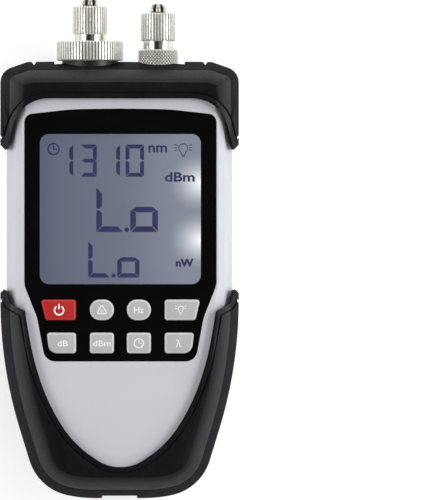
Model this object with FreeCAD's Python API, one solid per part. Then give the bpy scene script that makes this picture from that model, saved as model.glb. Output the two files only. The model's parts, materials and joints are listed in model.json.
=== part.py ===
"""Handheld optical power meter with a detector port and a light source port, in FreeCAD.

The meter lies on its back: +Z is up, out of the display, and +Y runs from the foot to the fibre ports.
The origin is at the middle of the footprint, on the surface that the meter lies on.
Everything is drawn with y = 0 at the foot of the case, and save() moves it to that origin.
All sizes are in millimetres.
"""

import FreeCAD
import Part
import math
import os

V = FreeCAD.Vector

# ---------------------------------------------------------------- driving sizes: case
CASE_HALF_WIDTH = 33.97    # over the rubber
RUBBER = 1.75              # thickness of the rubber
FOOT_HALF_WIDTH = 23.2     # where the flanks meet the foot
FOOT_FLAT_HALF = 11.0
FOOT_RISE = 2.6
FLANK_DROP = 1.4           # from the panel's foot down to the middle of the flanks' bend
SHOULDER_HALF_WIDTH = 26.2
SHOULDER_DROP = 2.9        # from the top end to the outer corners
FACET_INSET = 2.6          # side facet's lean, in plan
FACET_DEPTH = 5.5          # from the face back to the facet line
BEVEL_INSET = 4.4
BEVEL_DEPTH = 2.2
FACE_INSET = 7.0           # where the flat face starts
BELT = 1.0                 # half height of the upright band round the middle
WALL = 2.0                 # plastic side wall
FACE_WALL = 3.2            # plastic behind the panel
BACK_WALL = 2.2
FIT = 0.05                 # gap between parts that seat on each other

# ---------------------------------------------------------------- driving sizes: rubber edges
HOOD_DEPTH = 10.8          # from the top end down to the hood's lower edge, across the face
HOOD_CORNER_INSET = 5.57
HOOD_CORNER_RADIUS = 10.4
HOOD_TIP_DROP = 14.7       # how far its sides reach below that edge
HOOD_TIP_INSET = 1.67
# the boot's opening: drops and rises are from the panel's foot
BOOT_DIP_HALF, BOOT_DIP_DROP = 3.7, 30.0
BOOT_BEND_X, BOOT_BEND_DROP = 13.4, 23.4
BOOT_FLANK_X, BOOT_FLANK_DROP = 20.5, 11.9
BOOT_ARM_X, BOOT_ARM_RISE = 24.7, 0.4
BOOT_SHOULDER_INSET, BOOT_SHOULDER_RISE = 6.87, 14.2
BOOT_NECK_INSET, BOOT_NECK_RISE = 2.67, 16.4
BOOT_EAR_INSET, BOOT_EAR_RISE = 1.47, 20.8
LIP_WIDTH = 1.4            # bead along the rubber's edge
GROOVE_WIDTH = 0.5
GROOVE_DEPTH = 0.4
FOOT_NOTCH_HALF = 5.0
FOOT_NOTCH_DEPTH = 0.75
SADDLE_HALF = 18.6         # shallow saddle across the top end, under the ports
SADDLE_EDGE, SADDLE_CROWN = 0.95, 0.2
TOP_NOTCH_X = 24.4
TOP_NOTCH_DEPTH = 1.2
TOP_NOTCH_HALF = 1.5

# ---------------------------------------------------------------- driving sizes: panel, display, keys
PANEL_FOOT = 39.1          # from the foot of the case
PANEL_THICK = 1.3
PANEL_DROP = 0.35          # panel below the plastic face
PANEL_MARGIN = 6.77        # panel to the outside of the rubber
PANEL_END_MARGIN = 13.7
PANEL_CORNER = 2.3
PANEL_CORNER_DROP = 1.7
PANEL_FOOT_CORNER = 3.4
PANEL_FOOT_INSET, PANEL_WAIST_INSET = 5.9, 3.6
PANEL_WAIST_RISE = 12.4
VIEW_HEIGHT = 42.6         # visible display
VIEW_MARGIN = 4.35         # black border beside the display
VIEW_HEADER = 7.2          # black border above the display
VIEW_CORNER = 2.6
WINDOW_FLANGE = 1.6
WINDOW_PLATE = 1.0
WINDOW_DROP = 0.25         # window below the panel's face
KEY_RISE = 0.9             # key above the panel
KEY_GAP = 0.15
KEY_FLANGE = 0.7
KEY_FLANGE_THICK = 0.8
KEY_HEIGHT = 5.8
KEY_CORNER = 0.8
KEY_BEVEL = 0.45
KEY_ROW_MARGIN = 5.2       # panel's foot to the middle of the lower row
KEY_PITCH = 9.4
KEY_TO_VIEW = 7.3          # middle of the upper row to the display
INNER_KEY_X, INNER_KEY_HALF_WIDTH = 5.25, 3.4
OUTER_KEY_START = 12.6
UPPER_KEY_MARGIN, UPPER_KEY_SLANT = 4.55, 1.4
LOWER_KEY_MARGIN, LOWER_KEY_SLANT = 6.3, 0.7
KEY_SWEEP = 2.6            # large corner of the lower outer keys

# ---------------------------------------------------------------- driving sizes: ports
DETECTOR_X, SOURCE_X = -8.4, 11.0
PORT_CLEARANCE = 0.3       # between ports and rubber
PORT_WALL_THICK = 4.0      # end wall where the ports pass through
SOCKET_R = 8.0             # M16 x 1 outside thread, modelled smooth
SOCKET_RISE = 2.6          # socket above the rubber
SOCKET_FLANGE_R = 9.9
FLANGE_THICK = 2.0
DIODE_R = 4.1
DIODE_HEADER_R = 4.7
DIODE_BACK = 4.0
PIN_R = 0.25
PIN_LENGTH = 5.0
RING_R = 9.5
RING_TEETH = 64
RING_LENGTH = 5.6
RING_LIP = 1.3
KNURL_DEPTH = 0.4
ADAPTER_FLANGE_R = 7.4
ADAPTER_FLANGE = 1.5
NECK_R = 4.4
FC_THREAD_R = 4.0          # M8 x 0.75 outside thread, modelled smooth
FC_THREAD_LENGTH = 5.9
FC_MOUTH_R = 2.7
FC_MOUTH_DEPTH = 4.6
FC_SLOT_WIDTH, FC_SLOT_DEPTH = 2.2, 1.8
FERRULE_R = 1.25
SLEEVE_R = 1.65
SLEEVE_LENGTH = 7.0
DETECTOR_NECK_LENGTH = 1.9
COLLAR_R = 5.65
COLLAR_LENGTH = 3.2
SOURCE_BODY_R = 4.6
SOURCE_FLANGE_R = 7.0
SOURCE_NECK_LENGTH = 2.4
SOURCE_MODULE_R = 3.6
SOURCE_MODULE_LENGTH = 9.0
CAP_R = 5.1
CAP_TEETH = 36
CAP_TOP_WALL = 1.5
CAP_LENGTH = 8.0
THREAD_FIT = 0.06
CROWN_R = 2.5
CROWN_HEIGHT = 2.6
CROWN_BASE = 0.5
CROWN_PETALS = 6
CROWN_SLOT = 0.6
CROWN_BORE_R = 1.1
RIVET_R = 0.8
RIVET_HEAD_R = 1.6
RIVET_HEAD = 0.4

# ---------------------------------------------------------------- driving sizes: inside
GLASS_THICK = 2.2
GLASS_BORDER = 2.0
GUIDE_BORDER = 0.1
FRAME_WALL = 0.9
STRIP_WIDTH = 1.2
STRIP_INSET = 0.3
BOARD_THICK = 1.6
BOARD_MARGIN = 2.9         # board to the panel's edge, in plan
BOARD_FOOT_DROP = 5.5
BOARD_END_GAP = 5.15       # board to the port wall
BOARD_SPACE = 3.7          # room for parts between the battery bay and the board
BOARD_DROP = 4.5           # from the plastic behind the panel to the board
BOARD_POST_INSET = 2.9
BOARD_POST_R = 2.3
MAT_THICK = 0.8
MAT_MARGIN = 1.6
PAD_HALF = 1.8
CHIP_SIZE, CHIP_THICK = 12.0, 1.4
CHIP_RISE = 15.0            # controller above the display's lower edge
BUZZER_R, BUZZER_HEIGHT = 6.0, 3.0
BUZZER_INSET = 9.3
BATTERY_LENGTH, BATTERY_WIDTH, BATTERY_DEPTH = 46.4, 26.2, 17.2
BATTERY_EDGE = 1.6
BATTERY_RISE = 1.4         # battery above the panel's foot
BATTERY_PLAY = 0.4
TERMINAL_R, TERMINAL_LENGTH = 2.8, 2.1
TERMINAL_X = 6.35
SNAP_HALF_WIDTH, SNAP_DEPTH, SNAP_THICK = 12.4, 11.0, 2.6
CONTACT_WIDTH, CONTACT_THICK = 2.0, 0.3
BAY_WALL = 1.5
COVER_MARGIN = 2.2
COVER_SIDE_MARGIN = 1.2
COVER_THICK = 2.0
COVER_TONGUE = 6.4
COVER_TONGUE_HALF_WIDTH = 4.2
SCREW_R = 1.2
SCREW_HEAD_R = 2.2
SCREW_HEAD = 1.5
COVER_SCREW_HEAD = 1.0
SCREW_GRIP = 6.0           # plastic under a case screw's head
SCREW_HOLD = 3.6           # thread in the front half
SCREW_LOW_X, SCREW_LOW_DROP = 15.0, 4.8
SCREW_HIGH_INSET = 3.85
SCREW_BOSS_R = 2.9

# ---------------------------------------------------------------- driving sizes: tilt stand
STAND_THICK = 2.4
STAND_TO_COVER = 1.5
STAND_LEG = 3.4
STAND_FOOT_GAP = 2.3       # foot bar to the battery cover
STAND_FOOT_BAR = 4.6
STAND_HINGE_RISE = 5.75    # hinge above the battery bay
STAND_GAP = 0.3
STAND_PIN_R = 0.8
STAND_PIN_LENGTH = 1.6
FINGER_SCOOP_R = 9.0
FINGER_SCOOP_HALF_WIDTH = 7.0

# ---------------------------------------------------------------- sizes that follow, in plan
PANEL_HALF_WIDTH = CASE_HALF_WIDTH - PANEL_MARGIN
VIEW_HALF_WIDTH = PANEL_HALF_WIDTH - VIEW_MARGIN
BOARD_HALF_WIDTH = PANEL_HALF_WIDTH - BOARD_MARGIN
KEY_ROW_LOW = PANEL_FOOT + KEY_ROW_MARGIN
KEY_ROW_HIGH = KEY_ROW_LOW + KEY_PITCH
VIEW_LOW = KEY_ROW_HIGH + KEY_TO_VIEW
VIEW_HIGH = VIEW_LOW + VIEW_HEIGHT
PANEL_TOP = VIEW_HIGH + VIEW_HEADER
CASE_LENGTH = PANEL_TOP + PANEL_END_MARGIN
FLANK_TOP = PANEL_FOOT - FLANK_DROP
BOOT_DIP = PANEL_FOOT - BOOT_DIP_DROP
HOOD_EDGE = CASE_LENGTH - HOOD_DEPTH
SHELL_TOP = CASE_LENGTH - RUBBER
END_WALL = SHELL_TOP - WALL
PORT_WALL = SHELL_TOP - PORT_WALL_THICK
BOARD_LOW = PANEL_FOOT - BOARD_FOOT_DROP
BOARD_HIGH = PORT_WALL - BOARD_END_GAP
PORT_BASE = CASE_LENGTH - SADDLE_CROWN + PORT_CLEARANCE
RING_TOP = PORT_BASE + RING_LENGTH
SOCKET_TOP = PORT_BASE + SOCKET_RISE
DETECTOR_CAP_LOW = RING_TOP + DETECTOR_NECK_LENGTH
DETECTOR_CAP_HIGH = DETECTOR_CAP_LOW + CAP_LENGTH
SOURCE_CAP_LOW = PORT_BASE + COLLAR_LENGTH + SOURCE_NECK_LENGTH
OVERALL_LENGTH = DETECTOR_CAP_HIGH + CROWN_HEIGHT
BATTERY_LOW = PANEL_FOOT + BATTERY_RISE
BATTERY_HIGH = BATTERY_LOW + BATTERY_LENGTH
BAY_X = BATTERY_WIDTH / 2 + BATTERY_PLAY
BAY_LOW = BATTERY_LOW - BATTERY_PLAY
BAY_HIGH = BATTERY_HIGH + FIT + SNAP_THICK + CONTACT_THICK + BATTERY_PLAY
COVER_HALF_WIDTH = BAY_X + COVER_SIDE_MARGIN
COVER_SCREW_Y = BAY_HIGH + COVER_MARGIN + COVER_TONGUE - COVER_TONGUE_HALF_WIDTH
STAND_HALF_WIDTH = COVER_HALF_WIDTH + STAND_TO_COVER + STAND_LEG
STAND_FOOT = BAY_LOW - COVER_MARGIN - STAND_FOOT_GAP - STAND_FOOT_BAR
STAND_HINGE_Y = BAY_HIGH + STAND_HINGE_RISE
BUZZER_X = BOARD_HALF_WIDTH - BUZZER_INSET
BUZZER_Y = (KEY_ROW_HIGH + VIEW_LOW) / 2
WIDE = 2 * CASE_HALF_WIDTH
LONG = 2 * CASE_LENGTH

# ---------------------------------------------------------------- sizes that follow, from the back up
BACK_Z = RUBBER
FLOOR = BACK_Z + BACK_WALL
STAND_HINGE_Z = BACK_Z + STAND_THICK / 2
BATTERY_Z = BACK_Z + COVER_THICK + BATTERY_PLAY
BATTERY_MID = BATTERY_Z + BATTERY_DEPTH / 2
BAY_CEILING = BATTERY_Z + BATTERY_DEPTH + BATTERY_PLAY
BOARD_BOTTOM = BAY_CEILING + BAY_WALL + BOARD_SPACE
BOARD_TOP = BOARD_BOTTOM + BOARD_THICK
CEILING = BOARD_TOP + BOARD_DROP
GLASS_BOTTOM = CEILING - GLASS_THICK
FACE_Z = CEILING + FACE_WALL
CASE_DEPTH = FACE_Z + RUBBER
MID = CASE_DEPTH / 2
PORT_Z = MID
PANEL_FACE = FACE_Z - PANEL_DROP
PANEL_FLOOR = PANEL_FACE - PANEL_THICK
KEY_TOP = PANEL_FACE + KEY_RISE
KEY_STOP = CEILING - FIT
KEY_BOTTOM = KEY_STOP - KEY_FLANGE_THICK


# ---------------------------------------------------------------- outlines and simple solids
def mirror_x(points):
    """The closed run of (x, y, radius) corners from a right-hand half that starts and ends on x = 0."""
    return points + [(-x, y, r) for x, y, r in reversed(points[1:-1])]


def rounded_wire(corners, z):
    """A closed wire at height z through corners (x, y, radius), each rounded by a tangent arc."""
    count = len(corners)
    spans = []
    for i, (x, y, r) in enumerate(corners):
        here = V(x, y, z)
        before = V(*corners[i - 1][:2], z) - here
        after = V(*corners[(i + 1) % count][:2], z) - here
        before.normalize()
        after.normalize()
        turn = math.pi - before.getAngle(after)
        if r <= 0 or turn < 1e-4:
            spans.append((here, None, here))
            continue
        reach = r * math.tan(turn / 2)
        middle = here + (before + after).normalize() * (r / math.cos(turn / 2) - r)
        spans.append((here + before * reach, middle, here + after * reach))
    edges = []
    for i, (start, middle, end) in enumerate(spans):
        if middle is not None:
            edges.append(Part.Arc(start, middle, end).toShape())
        edges.append(Part.LineSegment(end, spans[(i + 1) % count][0]).toShape())
    return Part.Wire(edges)


def inset(half, amount, least=0.4):
    """A right-hand half outline (x, y, radius) moved inward by amount; its ends stay on x = 0."""
    full = mirror_x(half)
    count = len(full)
    moved = []
    for i in range(len(half)):
        x, y, r = full[i]
        here = V(x, y, 0)
        arriving = (here - V(*full[i - 1][:2], 0)).normalize()
        leaving = (V(*full[(i + 1) % count][:2], 0) - here).normalize()
        normals = V(-arriving.y, arriving.x, 0) + V(-leaving.y, leaving.x, 0)
        corner = here + normals * (2 * amount / normals.Length ** 2)
        convex = arriving.cross(leaving).z > 0
        radius = max(r - amount if convex else r + amount, least) if r > 0 else 0
        on_axis = i in (0, len(half) - 1)
        moved.append((0.0 if on_axis else corner.x, corner.y, radius))
    return moved


def prism(half, low, high):
    """A prism over a mirrored half outline."""
    return Part.Face(rounded_wire(mirror_x(half), low)).extrude(V(0, 0, high - low))


def prism_of(corners, low, high):
    """A prism over closed corners (x, y, radius)."""
    return Part.Face(rounded_wire(corners, low)).extrude(V(0, 0, high - low))


def box(x, y, z):
    """A box from three (low, high) ranges."""
    return Part.makeBox(x[1] - x[0], y[1] - y[0], z[1] - z[0], V(x[0], y[0], z[0]))


def plate(x, y, z, radius):
    """A box from three (low, high) ranges with its upright edges rounded."""
    corners = [(x[0], y[0], radius), (x[1], y[0], radius), (x[1], y[1], radius), (x[0], y[1], radius)]
    return prism_of(corners, z[0], z[1])


def turned(profile, x):
    """A solid turned about the port axis at x from a profile of (radius, y) points."""
    points = [V(x + r, y, PORT_Z) for r, y in profile]
    return Part.Face(Part.makePolygon(points + [points[0]])).revolve(V(x, 0, PORT_Z), V(0, 1, 0), 360)


def rod(radius, x, low, high):
    """A cylinder along a port axis."""
    return Part.makeCylinder(radius, high - low, V(x, low, PORT_Z), V(0, 1, 0))


def post(radius, x, y, low, high):
    """A cylinder along Z."""
    return Part.makeCylinder(radius, high - low, V(x, y, low), V(0, 0, 1))


def both_sides(shape):
    """A shape and its mirror image across x = 0."""
    return [shape, shape.mirror(V(0, 0, 0), V(1, 0, 0))]


def joined(shapes):
    """One shape fused from several."""
    return shapes[0].multiFuse(shapes[1:]).removeSplitter()


def save(name, shape):
    """Write one sub-part as parts/NAME.step, moved to the model's origin."""
    moved = shape.copy()
    moved.translate(V(0, -OVERALL_LENGTH / 2, 0))
    moved.exportStep(os.path.join("parts", name + ".step"))


# ---------------------------------------------------------------- case
CASE = [(0, 0, 0), (FOOT_FLAT_HALF, 0, 38), (FOOT_HALF_WIDTH, FOOT_RISE, 14.4), (CASE_HALF_WIDTH, FLANK_TOP, 125),
        (CASE_HALF_WIDTH, CASE_LENGTH - SHOULDER_DROP, 4.5), (SHOULDER_HALF_WIDTH, CASE_LENGTH - 0.2, 2),
        (0, CASE_LENGTH, 0)]
HOOD_TIP = (CASE_HALF_WIDTH - HOOD_TIP_INSET, HOOD_EDGE - HOOD_TIP_DROP)
HOOD = [(0, HOOD_EDGE, 0), (CASE_HALF_WIDTH - HOOD_CORNER_INSET, HOOD_EDGE, HOOD_CORNER_RADIUS),
        (*HOOD_TIP, 0.3), (WIDE, HOOD_TIP[1] + WIDE - HOOD_TIP[0], 0), (WIDE, LONG, 0), (0, LONG, 0)]
EAR = (CASE_HALF_WIDTH - BOOT_EAR_INSET, PANEL_FOOT + BOOT_EAR_RISE)
OPENING = [(0, BOOT_DIP, 0), (BOOT_DIP_HALF, BOOT_DIP, 11.5), (BOOT_BEND_X, PANEL_FOOT - BOOT_BEND_DROP, 30),
           (BOOT_FLANK_X, PANEL_FOOT - BOOT_FLANK_DROP, 58), (BOOT_ARM_X, PANEL_FOOT + BOOT_ARM_RISE, 78),
           (CASE_HALF_WIDTH - BOOT_SHOULDER_INSET, PANEL_FOOT + BOOT_SHOULDER_RISE, 1),
           (CASE_HALF_WIDTH - BOOT_NECK_INSET, PANEL_FOOT + BOOT_NECK_RISE, 1.2), (*EAR, 0.5),
           (WIDE, EAR[1] - (WIDE - EAR[0]), 0), (WIDE, LONG, 0), (0, LONG, 0)]
PANEL = [(0, PANEL_FOOT, 0), (PANEL_HALF_WIDTH - PANEL_FOOT_INSET, PANEL_FOOT, PANEL_FOOT_CORNER),
         (PANEL_HALF_WIDTH - PANEL_WAIST_INSET, PANEL_FOOT + PANEL_WAIST_RISE, 12),
         (PANEL_HALF_WIDTH, VIEW_LOW - 0.4, 6), (PANEL_HALF_WIDTH, PANEL_TOP - PANEL_CORNER_DROP, PANEL_CORNER),
         (PANEL_HALF_WIDTH / 2, PANEL_TOP - 0.2, 60), (0, PANEL_TOP, 0)]


def case_section(depth_inside):
    """(inset, depth) points from the belt to the flat face, moved inward by depth_inside."""
    lead = BEVEL_DEPTH * (BEVEL_INSET - FACET_INSET) / (FACET_DEPTH - BEVEL_DEPTH)
    points = [(0, MID), (0, MID - BELT), (FACET_INSET, FACET_DEPTH)]
    for step in range(4):
        t = step / 3
        across = (1 - t) ** 2 * BEVEL_INSET + 2 * t * (1 - t) * (BEVEL_INSET + lead) + t ** 2 * FACE_INSET
        points.append((across, (1 - t) ** 2 * BEVEL_DEPTH))
    points.append((2 * FACE_INSET, 0))
    moved = []
    for i in range(1, len(points) - 1):
        arriving = (V(*points[i], 0) - V(*points[i - 1], 0)).normalize()
        leaving = (V(*points[i + 1], 0) - V(*points[i], 0)).normalize()
        normals = V(-arriving.y, arriving.x, 0) + V(-leaving.y, leaving.x, 0)
        corner = V(*points[i], 0) + normals * (2 * depth_inside / normals.Length ** 2)
        moved.append((corner.x, corner.y))
    return moved


def case_solid(depth_inside):
    """The case's outer form, moved inward by depth_inside all round."""
    section = case_section(depth_inside)
    levels = [(across, deep) for across, deep in reversed(section)]
    levels += [(across, CASE_DEPTH - deep) for across, deep in section]
    wires = [rounded_wire(mirror_x(inset(CASE, across)), z) for across, z in levels]
    return Part.makeLoft(wires, True, True)


def rubber_shell():
    """The rubber all round the case, before its openings are cut."""
    shell = case_solid(0).cut(case_solid(RUBBER))
    for x in (-TOP_NOTCH_X, TOP_NOTCH_X):
        tip = [(x, CASE_LENGTH - TOP_NOTCH_DEPTH, 0), (x + TOP_NOTCH_HALF, CASE_LENGTH + 1, 0),
               (x - TOP_NOTCH_HALF, CASE_LENGTH + 1, 0)]
        shell = shell.cut(prism_of(tip, -1, CASE_DEPTH + 1))
    left = V(-SADDLE_HALF, CASE_LENGTH - SADDLE_EDGE, -1)
    right = V(SADDLE_HALF, CASE_LENGTH - SADDLE_EDGE, -1)
    arc = Part.Arc(left, V(0, CASE_LENGTH - SADDLE_CROWN, -1), right).toShape()
    above = Part.makePolygon([right, V(SADDLE_HALF, CASE_LENGTH + 2, -1), V(-SADDLE_HALF, CASE_LENGTH + 2, -1), left])
    shell = shell.cut(Part.Face(Part.Wire([arc] + above.Edges)).extrude(V(0, 0, CASE_DEPTH + 2)))
    notch = box((-FOOT_NOTCH_HALF, FOOT_NOTCH_HALF), (-1, FOOT_NOTCH_DEPTH), (-1, CASE_DEPTH + 1))
    return shell.cut(notch)


def edge_groove(half, sign):
    """A shallow groove beside the bead that follows a rubber edge, on front, sides and back."""
    outer = prism(inset(half, sign * (LIP_WIDTH + GROOVE_WIDTH)), -1, CASE_DEPTH + 1)
    inner = prism(inset(half, sign * LIP_WIDTH), -1, CASE_DEPTH + 1)
    band = outer.cut(inner) if sign < 0 else inner.cut(outer)
    return band.common(case_solid(0).cut(case_solid(GROOVE_DEPTH)))


def upper_bumper(shell):
    """The rubber hood over the top end, with holes for the two ports."""
    hood = shell.common(prism(HOOD, -1, CASE_DEPTH + 1)).cut(edge_groove(HOOD, 1))
    for x, radius in ((DETECTOR_X, SOCKET_R), (SOURCE_X, COLLAR_R)):
        hood = hood.cut(rod(radius + PORT_CLEARANCE, x, END_WALL, CASE_LENGTH + 1))
    return hood


def lower_bumper(shell):
    """The rubber boot round the foot and flanks, with its scooped opening."""
    boot = shell.cut(prism(OPENING, -1, CASE_DEPTH + 1)).cut(edge_groove(OPENING, -1))
    return boot


def housing_shell():
    """The hollow plastic case, both halves together."""
    cavity = case_solid(RUBBER + WALL).common(box((-WIDE, WIDE), (0, LONG), (FLOOR, CEILING)))
    return case_solid(RUBBER + FIT).cut(cavity)


def key_corners(row, inner, outer_high, outer_low, sweep=KEY_CORNER):
    """A right-hand key's closed corners, between x = inner and its outer side's two x values."""
    high, low = row + KEY_HEIGHT / 2, row - KEY_HEIGHT / 2
    return [(inner, low, KEY_CORNER), (outer_low, low, sweep), (outer_high, high, KEY_CORNER),
            (inner, high, KEY_CORNER)]


def key_outlines():
    """Closed corners of each key, by name."""
    left, right = INNER_KEY_X - INNER_KEY_HALF_WIDTH, INNER_KEY_X + INNER_KEY_HALF_WIDTH
    inner = key_corners(KEY_ROW_LOW, left, right, right)
    oval = [(x, y, KEY_HEIGHT / 2 - 0.1) for x, y, r in key_corners(KEY_ROW_HIGH, left, right, right)]
    edge = PANEL_HALF_WIDTH - UPPER_KEY_MARGIN
    upper = key_corners(KEY_ROW_HIGH, OUTER_KEY_START, edge, edge - UPPER_KEY_SLANT)
    edge = PANEL_HALF_WIDTH - LOWER_KEY_MARGIN
    lower = key_corners(KEY_ROW_LOW, OUTER_KEY_START, edge, edge - LOWER_KEY_SLANT, KEY_SWEEP)

    def mirrored(corners):
        return [(-x, y, r) for x, y, r in reversed(corners)]

    return {"power": mirrored(upper), "laser": mirrored(oval), "tone": oval, "backlight": upper,
            "relative": mirrored(lower), "absolute": mirrored(inner), "timer": inner, "wavelength": lower}


def grown(corners, amount):
    """Closed corners moved outward by amount."""
    count = len(corners)
    moved = []
    for i, (x, y, r) in enumerate(corners):
        arriving = (V(x, y, 0) - V(*corners[i - 1][:2], 0)).normalize()
        leaving = (V(*corners[(i + 1) % count][:2], 0) - V(x, y, 0)).normalize()
        normals = V(-arriving.y, arriving.x, 0) + V(-leaving.y, leaving.x, 0)
        corner = V(x, y, 0) - normals * (2 * amount / normals.Length ** 2)
        moved.append((corner.x, corner.y, r + amount))
    return moved


def centre_of(corners):
    """The middle of a key's outline."""
    xs = [x for x, y, r in corners]
    ys = [y for x, y, r in corners]
    return (min(xs) + max(xs)) / 2, (min(ys) + max(ys)) / 2


def view_plate(margin, low, high):
    """A plate with the display opening's rounded outline, larger all round by margin."""
    return plate((-VIEW_HALF_WIDTH - margin, VIEW_HALF_WIDTH + margin),
                 (VIEW_LOW - margin, VIEW_HIGH + margin), (low, high), VIEW_CORNER + margin)


def view_block(margin, low, high):
    """A square-cornered block behind the display opening, larger all round by margin."""
    return box((-VIEW_HALF_WIDTH - margin, VIEW_HALF_WIDTH + margin),
               (VIEW_LOW - margin, VIEW_HIGH + margin), (low, high))


def board_posts():
    """(x, y) of the two places where the main board is screwed to the front half."""
    x = BOARD_HALF_WIDTH - BOARD_POST_INSET
    return [(-x, BOARD_LOW + BOARD_POST_INSET), (x, BOARD_LOW + BOARD_POST_INSET)]


def case_screws():
    """(x, y, height where the two halves meet) of the four case screws."""
    low = [(side * SCREW_LOW_X, STAND_FOOT - SCREW_LOW_DROP, MID) for side in (-1, 1)]
    high_x, high_y = BOARD_HALF_WIDTH - SCREW_HIGH_INSET, BOARD_HIGH - SCREW_HIGH_INSET
    return low + [(side * high_x, high_y, BOARD_BOTTOM) for side in (-1, 1)]


def port_holes():
    """The two round holes through the end wall."""
    socket = rod(SOCKET_R + FIT, DETECTOR_X, PORT_WALL - 1, LONG)
    return socket.fuse(rod(SOURCE_BODY_R + FIT, SOURCE_X, PORT_WALL - 1, LONG))


def port_wall(low, high):
    """The thick, flat-backed part of the end wall that the ports are clamped to, between two heights."""
    across = (DETECTOR_X - SOCKET_FLANGE_R - 1, SOURCE_X + SOURCE_FLANGE_R + 1)
    return box(across, (PORT_WALL, END_WALL + 1), (low, high)).common(case_solid(RUBBER + WALL / 2))


# ---------------------------------------------------------------- housing halves
def front_housing(shell):
    """The front half: panel recess, display opening, key holes, board posts and screw bosses."""
    solids = [shell.common(box((-WIDE, WIDE), (-1, LONG), (MID + FIT / 2, CASE_DEPTH))),
              port_wall(MID + FIT / 2, CASE_DEPTH)]
    for x, y in board_posts():
        solids.append(post(BOARD_POST_R, x, y, BOARD_TOP, CEILING + 0.5))
    for x, y, meet in case_screws():
        low = max(meet + FIT / 2, BOARD_TOP if meet > MID else 0)
        solids.append(post(SCREW_BOSS_R, x, y, low, CEILING + 0.5))
    front = joined(solids)
    front = front.cut(prism(inset(PANEL, -FIT), PANEL_FLOOR, CASE_DEPTH))
    front = front.cut(view_plate(WINDOW_FLANGE + FIT, PANEL_FLOOR - WINDOW_PLATE, CASE_DEPTH))
    front = front.cut(view_plate(0, CEILING - 1, CASE_DEPTH))
    for corners in key_outlines().values():
        front = front.cut(prism_of(grown(corners, KEY_GAP), CEILING - 1, CASE_DEPTH))
    for x, y in board_posts():
        front = front.cut(post(SCREW_R, x, y, BOARD_TOP - 1, BOARD_TOP + SCREW_HOLD))
    for x, y, meet in case_screws():
        low = BOARD_TOP if meet > MID else MID
        front = front.cut(post(SCREW_R, x, y, low - 1, low + SCREW_HOLD))
    return front.cut(port_holes())


def stand_bail(margin, low, high):
    """The tilt stand's bail: two legs joined by a foot bar, larger all round by margin."""
    wide = STAND_HALF_WIDTH + margin
    foot = STAND_FOOT - margin
    outer = plate((-wide, wide), (foot, STAND_HINGE_Y), (low, high), 4.0)
    outer = outer.fuse(box((-wide, wide), (STAND_HINGE_Y - 5.0, STAND_HINGE_Y), (low, high)))
    inside = wide - STAND_LEG - 2 * margin
    window = plate((-inside, inside), (foot + STAND_FOOT_BAR + 2 * margin, LONG), (low - 1, high + 1), 1.5)
    return outer.cut(window)


def stand_ends(margin, radius):
    """The legs' round hinge ends, as two cylinders along X."""
    start = STAND_HALF_WIDTH - STAND_LEG - margin
    leg = Part.makeCylinder(radius, STAND_LEG + 2 * margin, V(start, STAND_HINGE_Y, STAND_HINGE_Z), V(1, 0, 0))
    return both_sides(leg)


def stand_pins(margin):
    """The two hinge pins, as cylinders along X that start inside the legs."""
    start = STAND_HALF_WIDTH - 0.5
    pin = Part.makeCylinder(STAND_PIN_R + margin, STAND_PIN_LENGTH + 0.5 + margin,
                            V(start, STAND_HINGE_Y, STAND_HINGE_Z), V(1, 0, 0))
    return both_sides(pin)


def cover_plate(margin, low, high):
    """The battery cover's outline with its screw tongue, larger all round by margin."""
    across = COVER_HALF_WIDTH + margin
    main = plate((-across, across), (BAY_LOW - COVER_MARGIN - margin, BAY_HIGH + COVER_MARGIN + margin),
                 (low, high), 2.0)
    half = COVER_TONGUE_HALF_WIDTH + margin
    tongue = plate((-half, half), (BAY_HIGH - COVER_MARGIN, BAY_HIGH + COVER_MARGIN + COVER_TONGUE + margin),
                   (low, high), half - 0.1)
    return main.fuse(tongue).removeSplitter()


def contact_strips(margin):
    """The two battery contact strips, from the battery's end up to the main board."""
    low = BATTERY_HIGH + FIT + SNAP_THICK
    half = CONTACT_WIDTH / 2 + margin
    return [box((side * TERMINAL_X - half, side * TERMINAL_X + half), (low - margin, low + CONTACT_THICK + margin),
                (BATTERY_MID, BOARD_BOTTOM)) for side in (-1, 1)]


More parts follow.
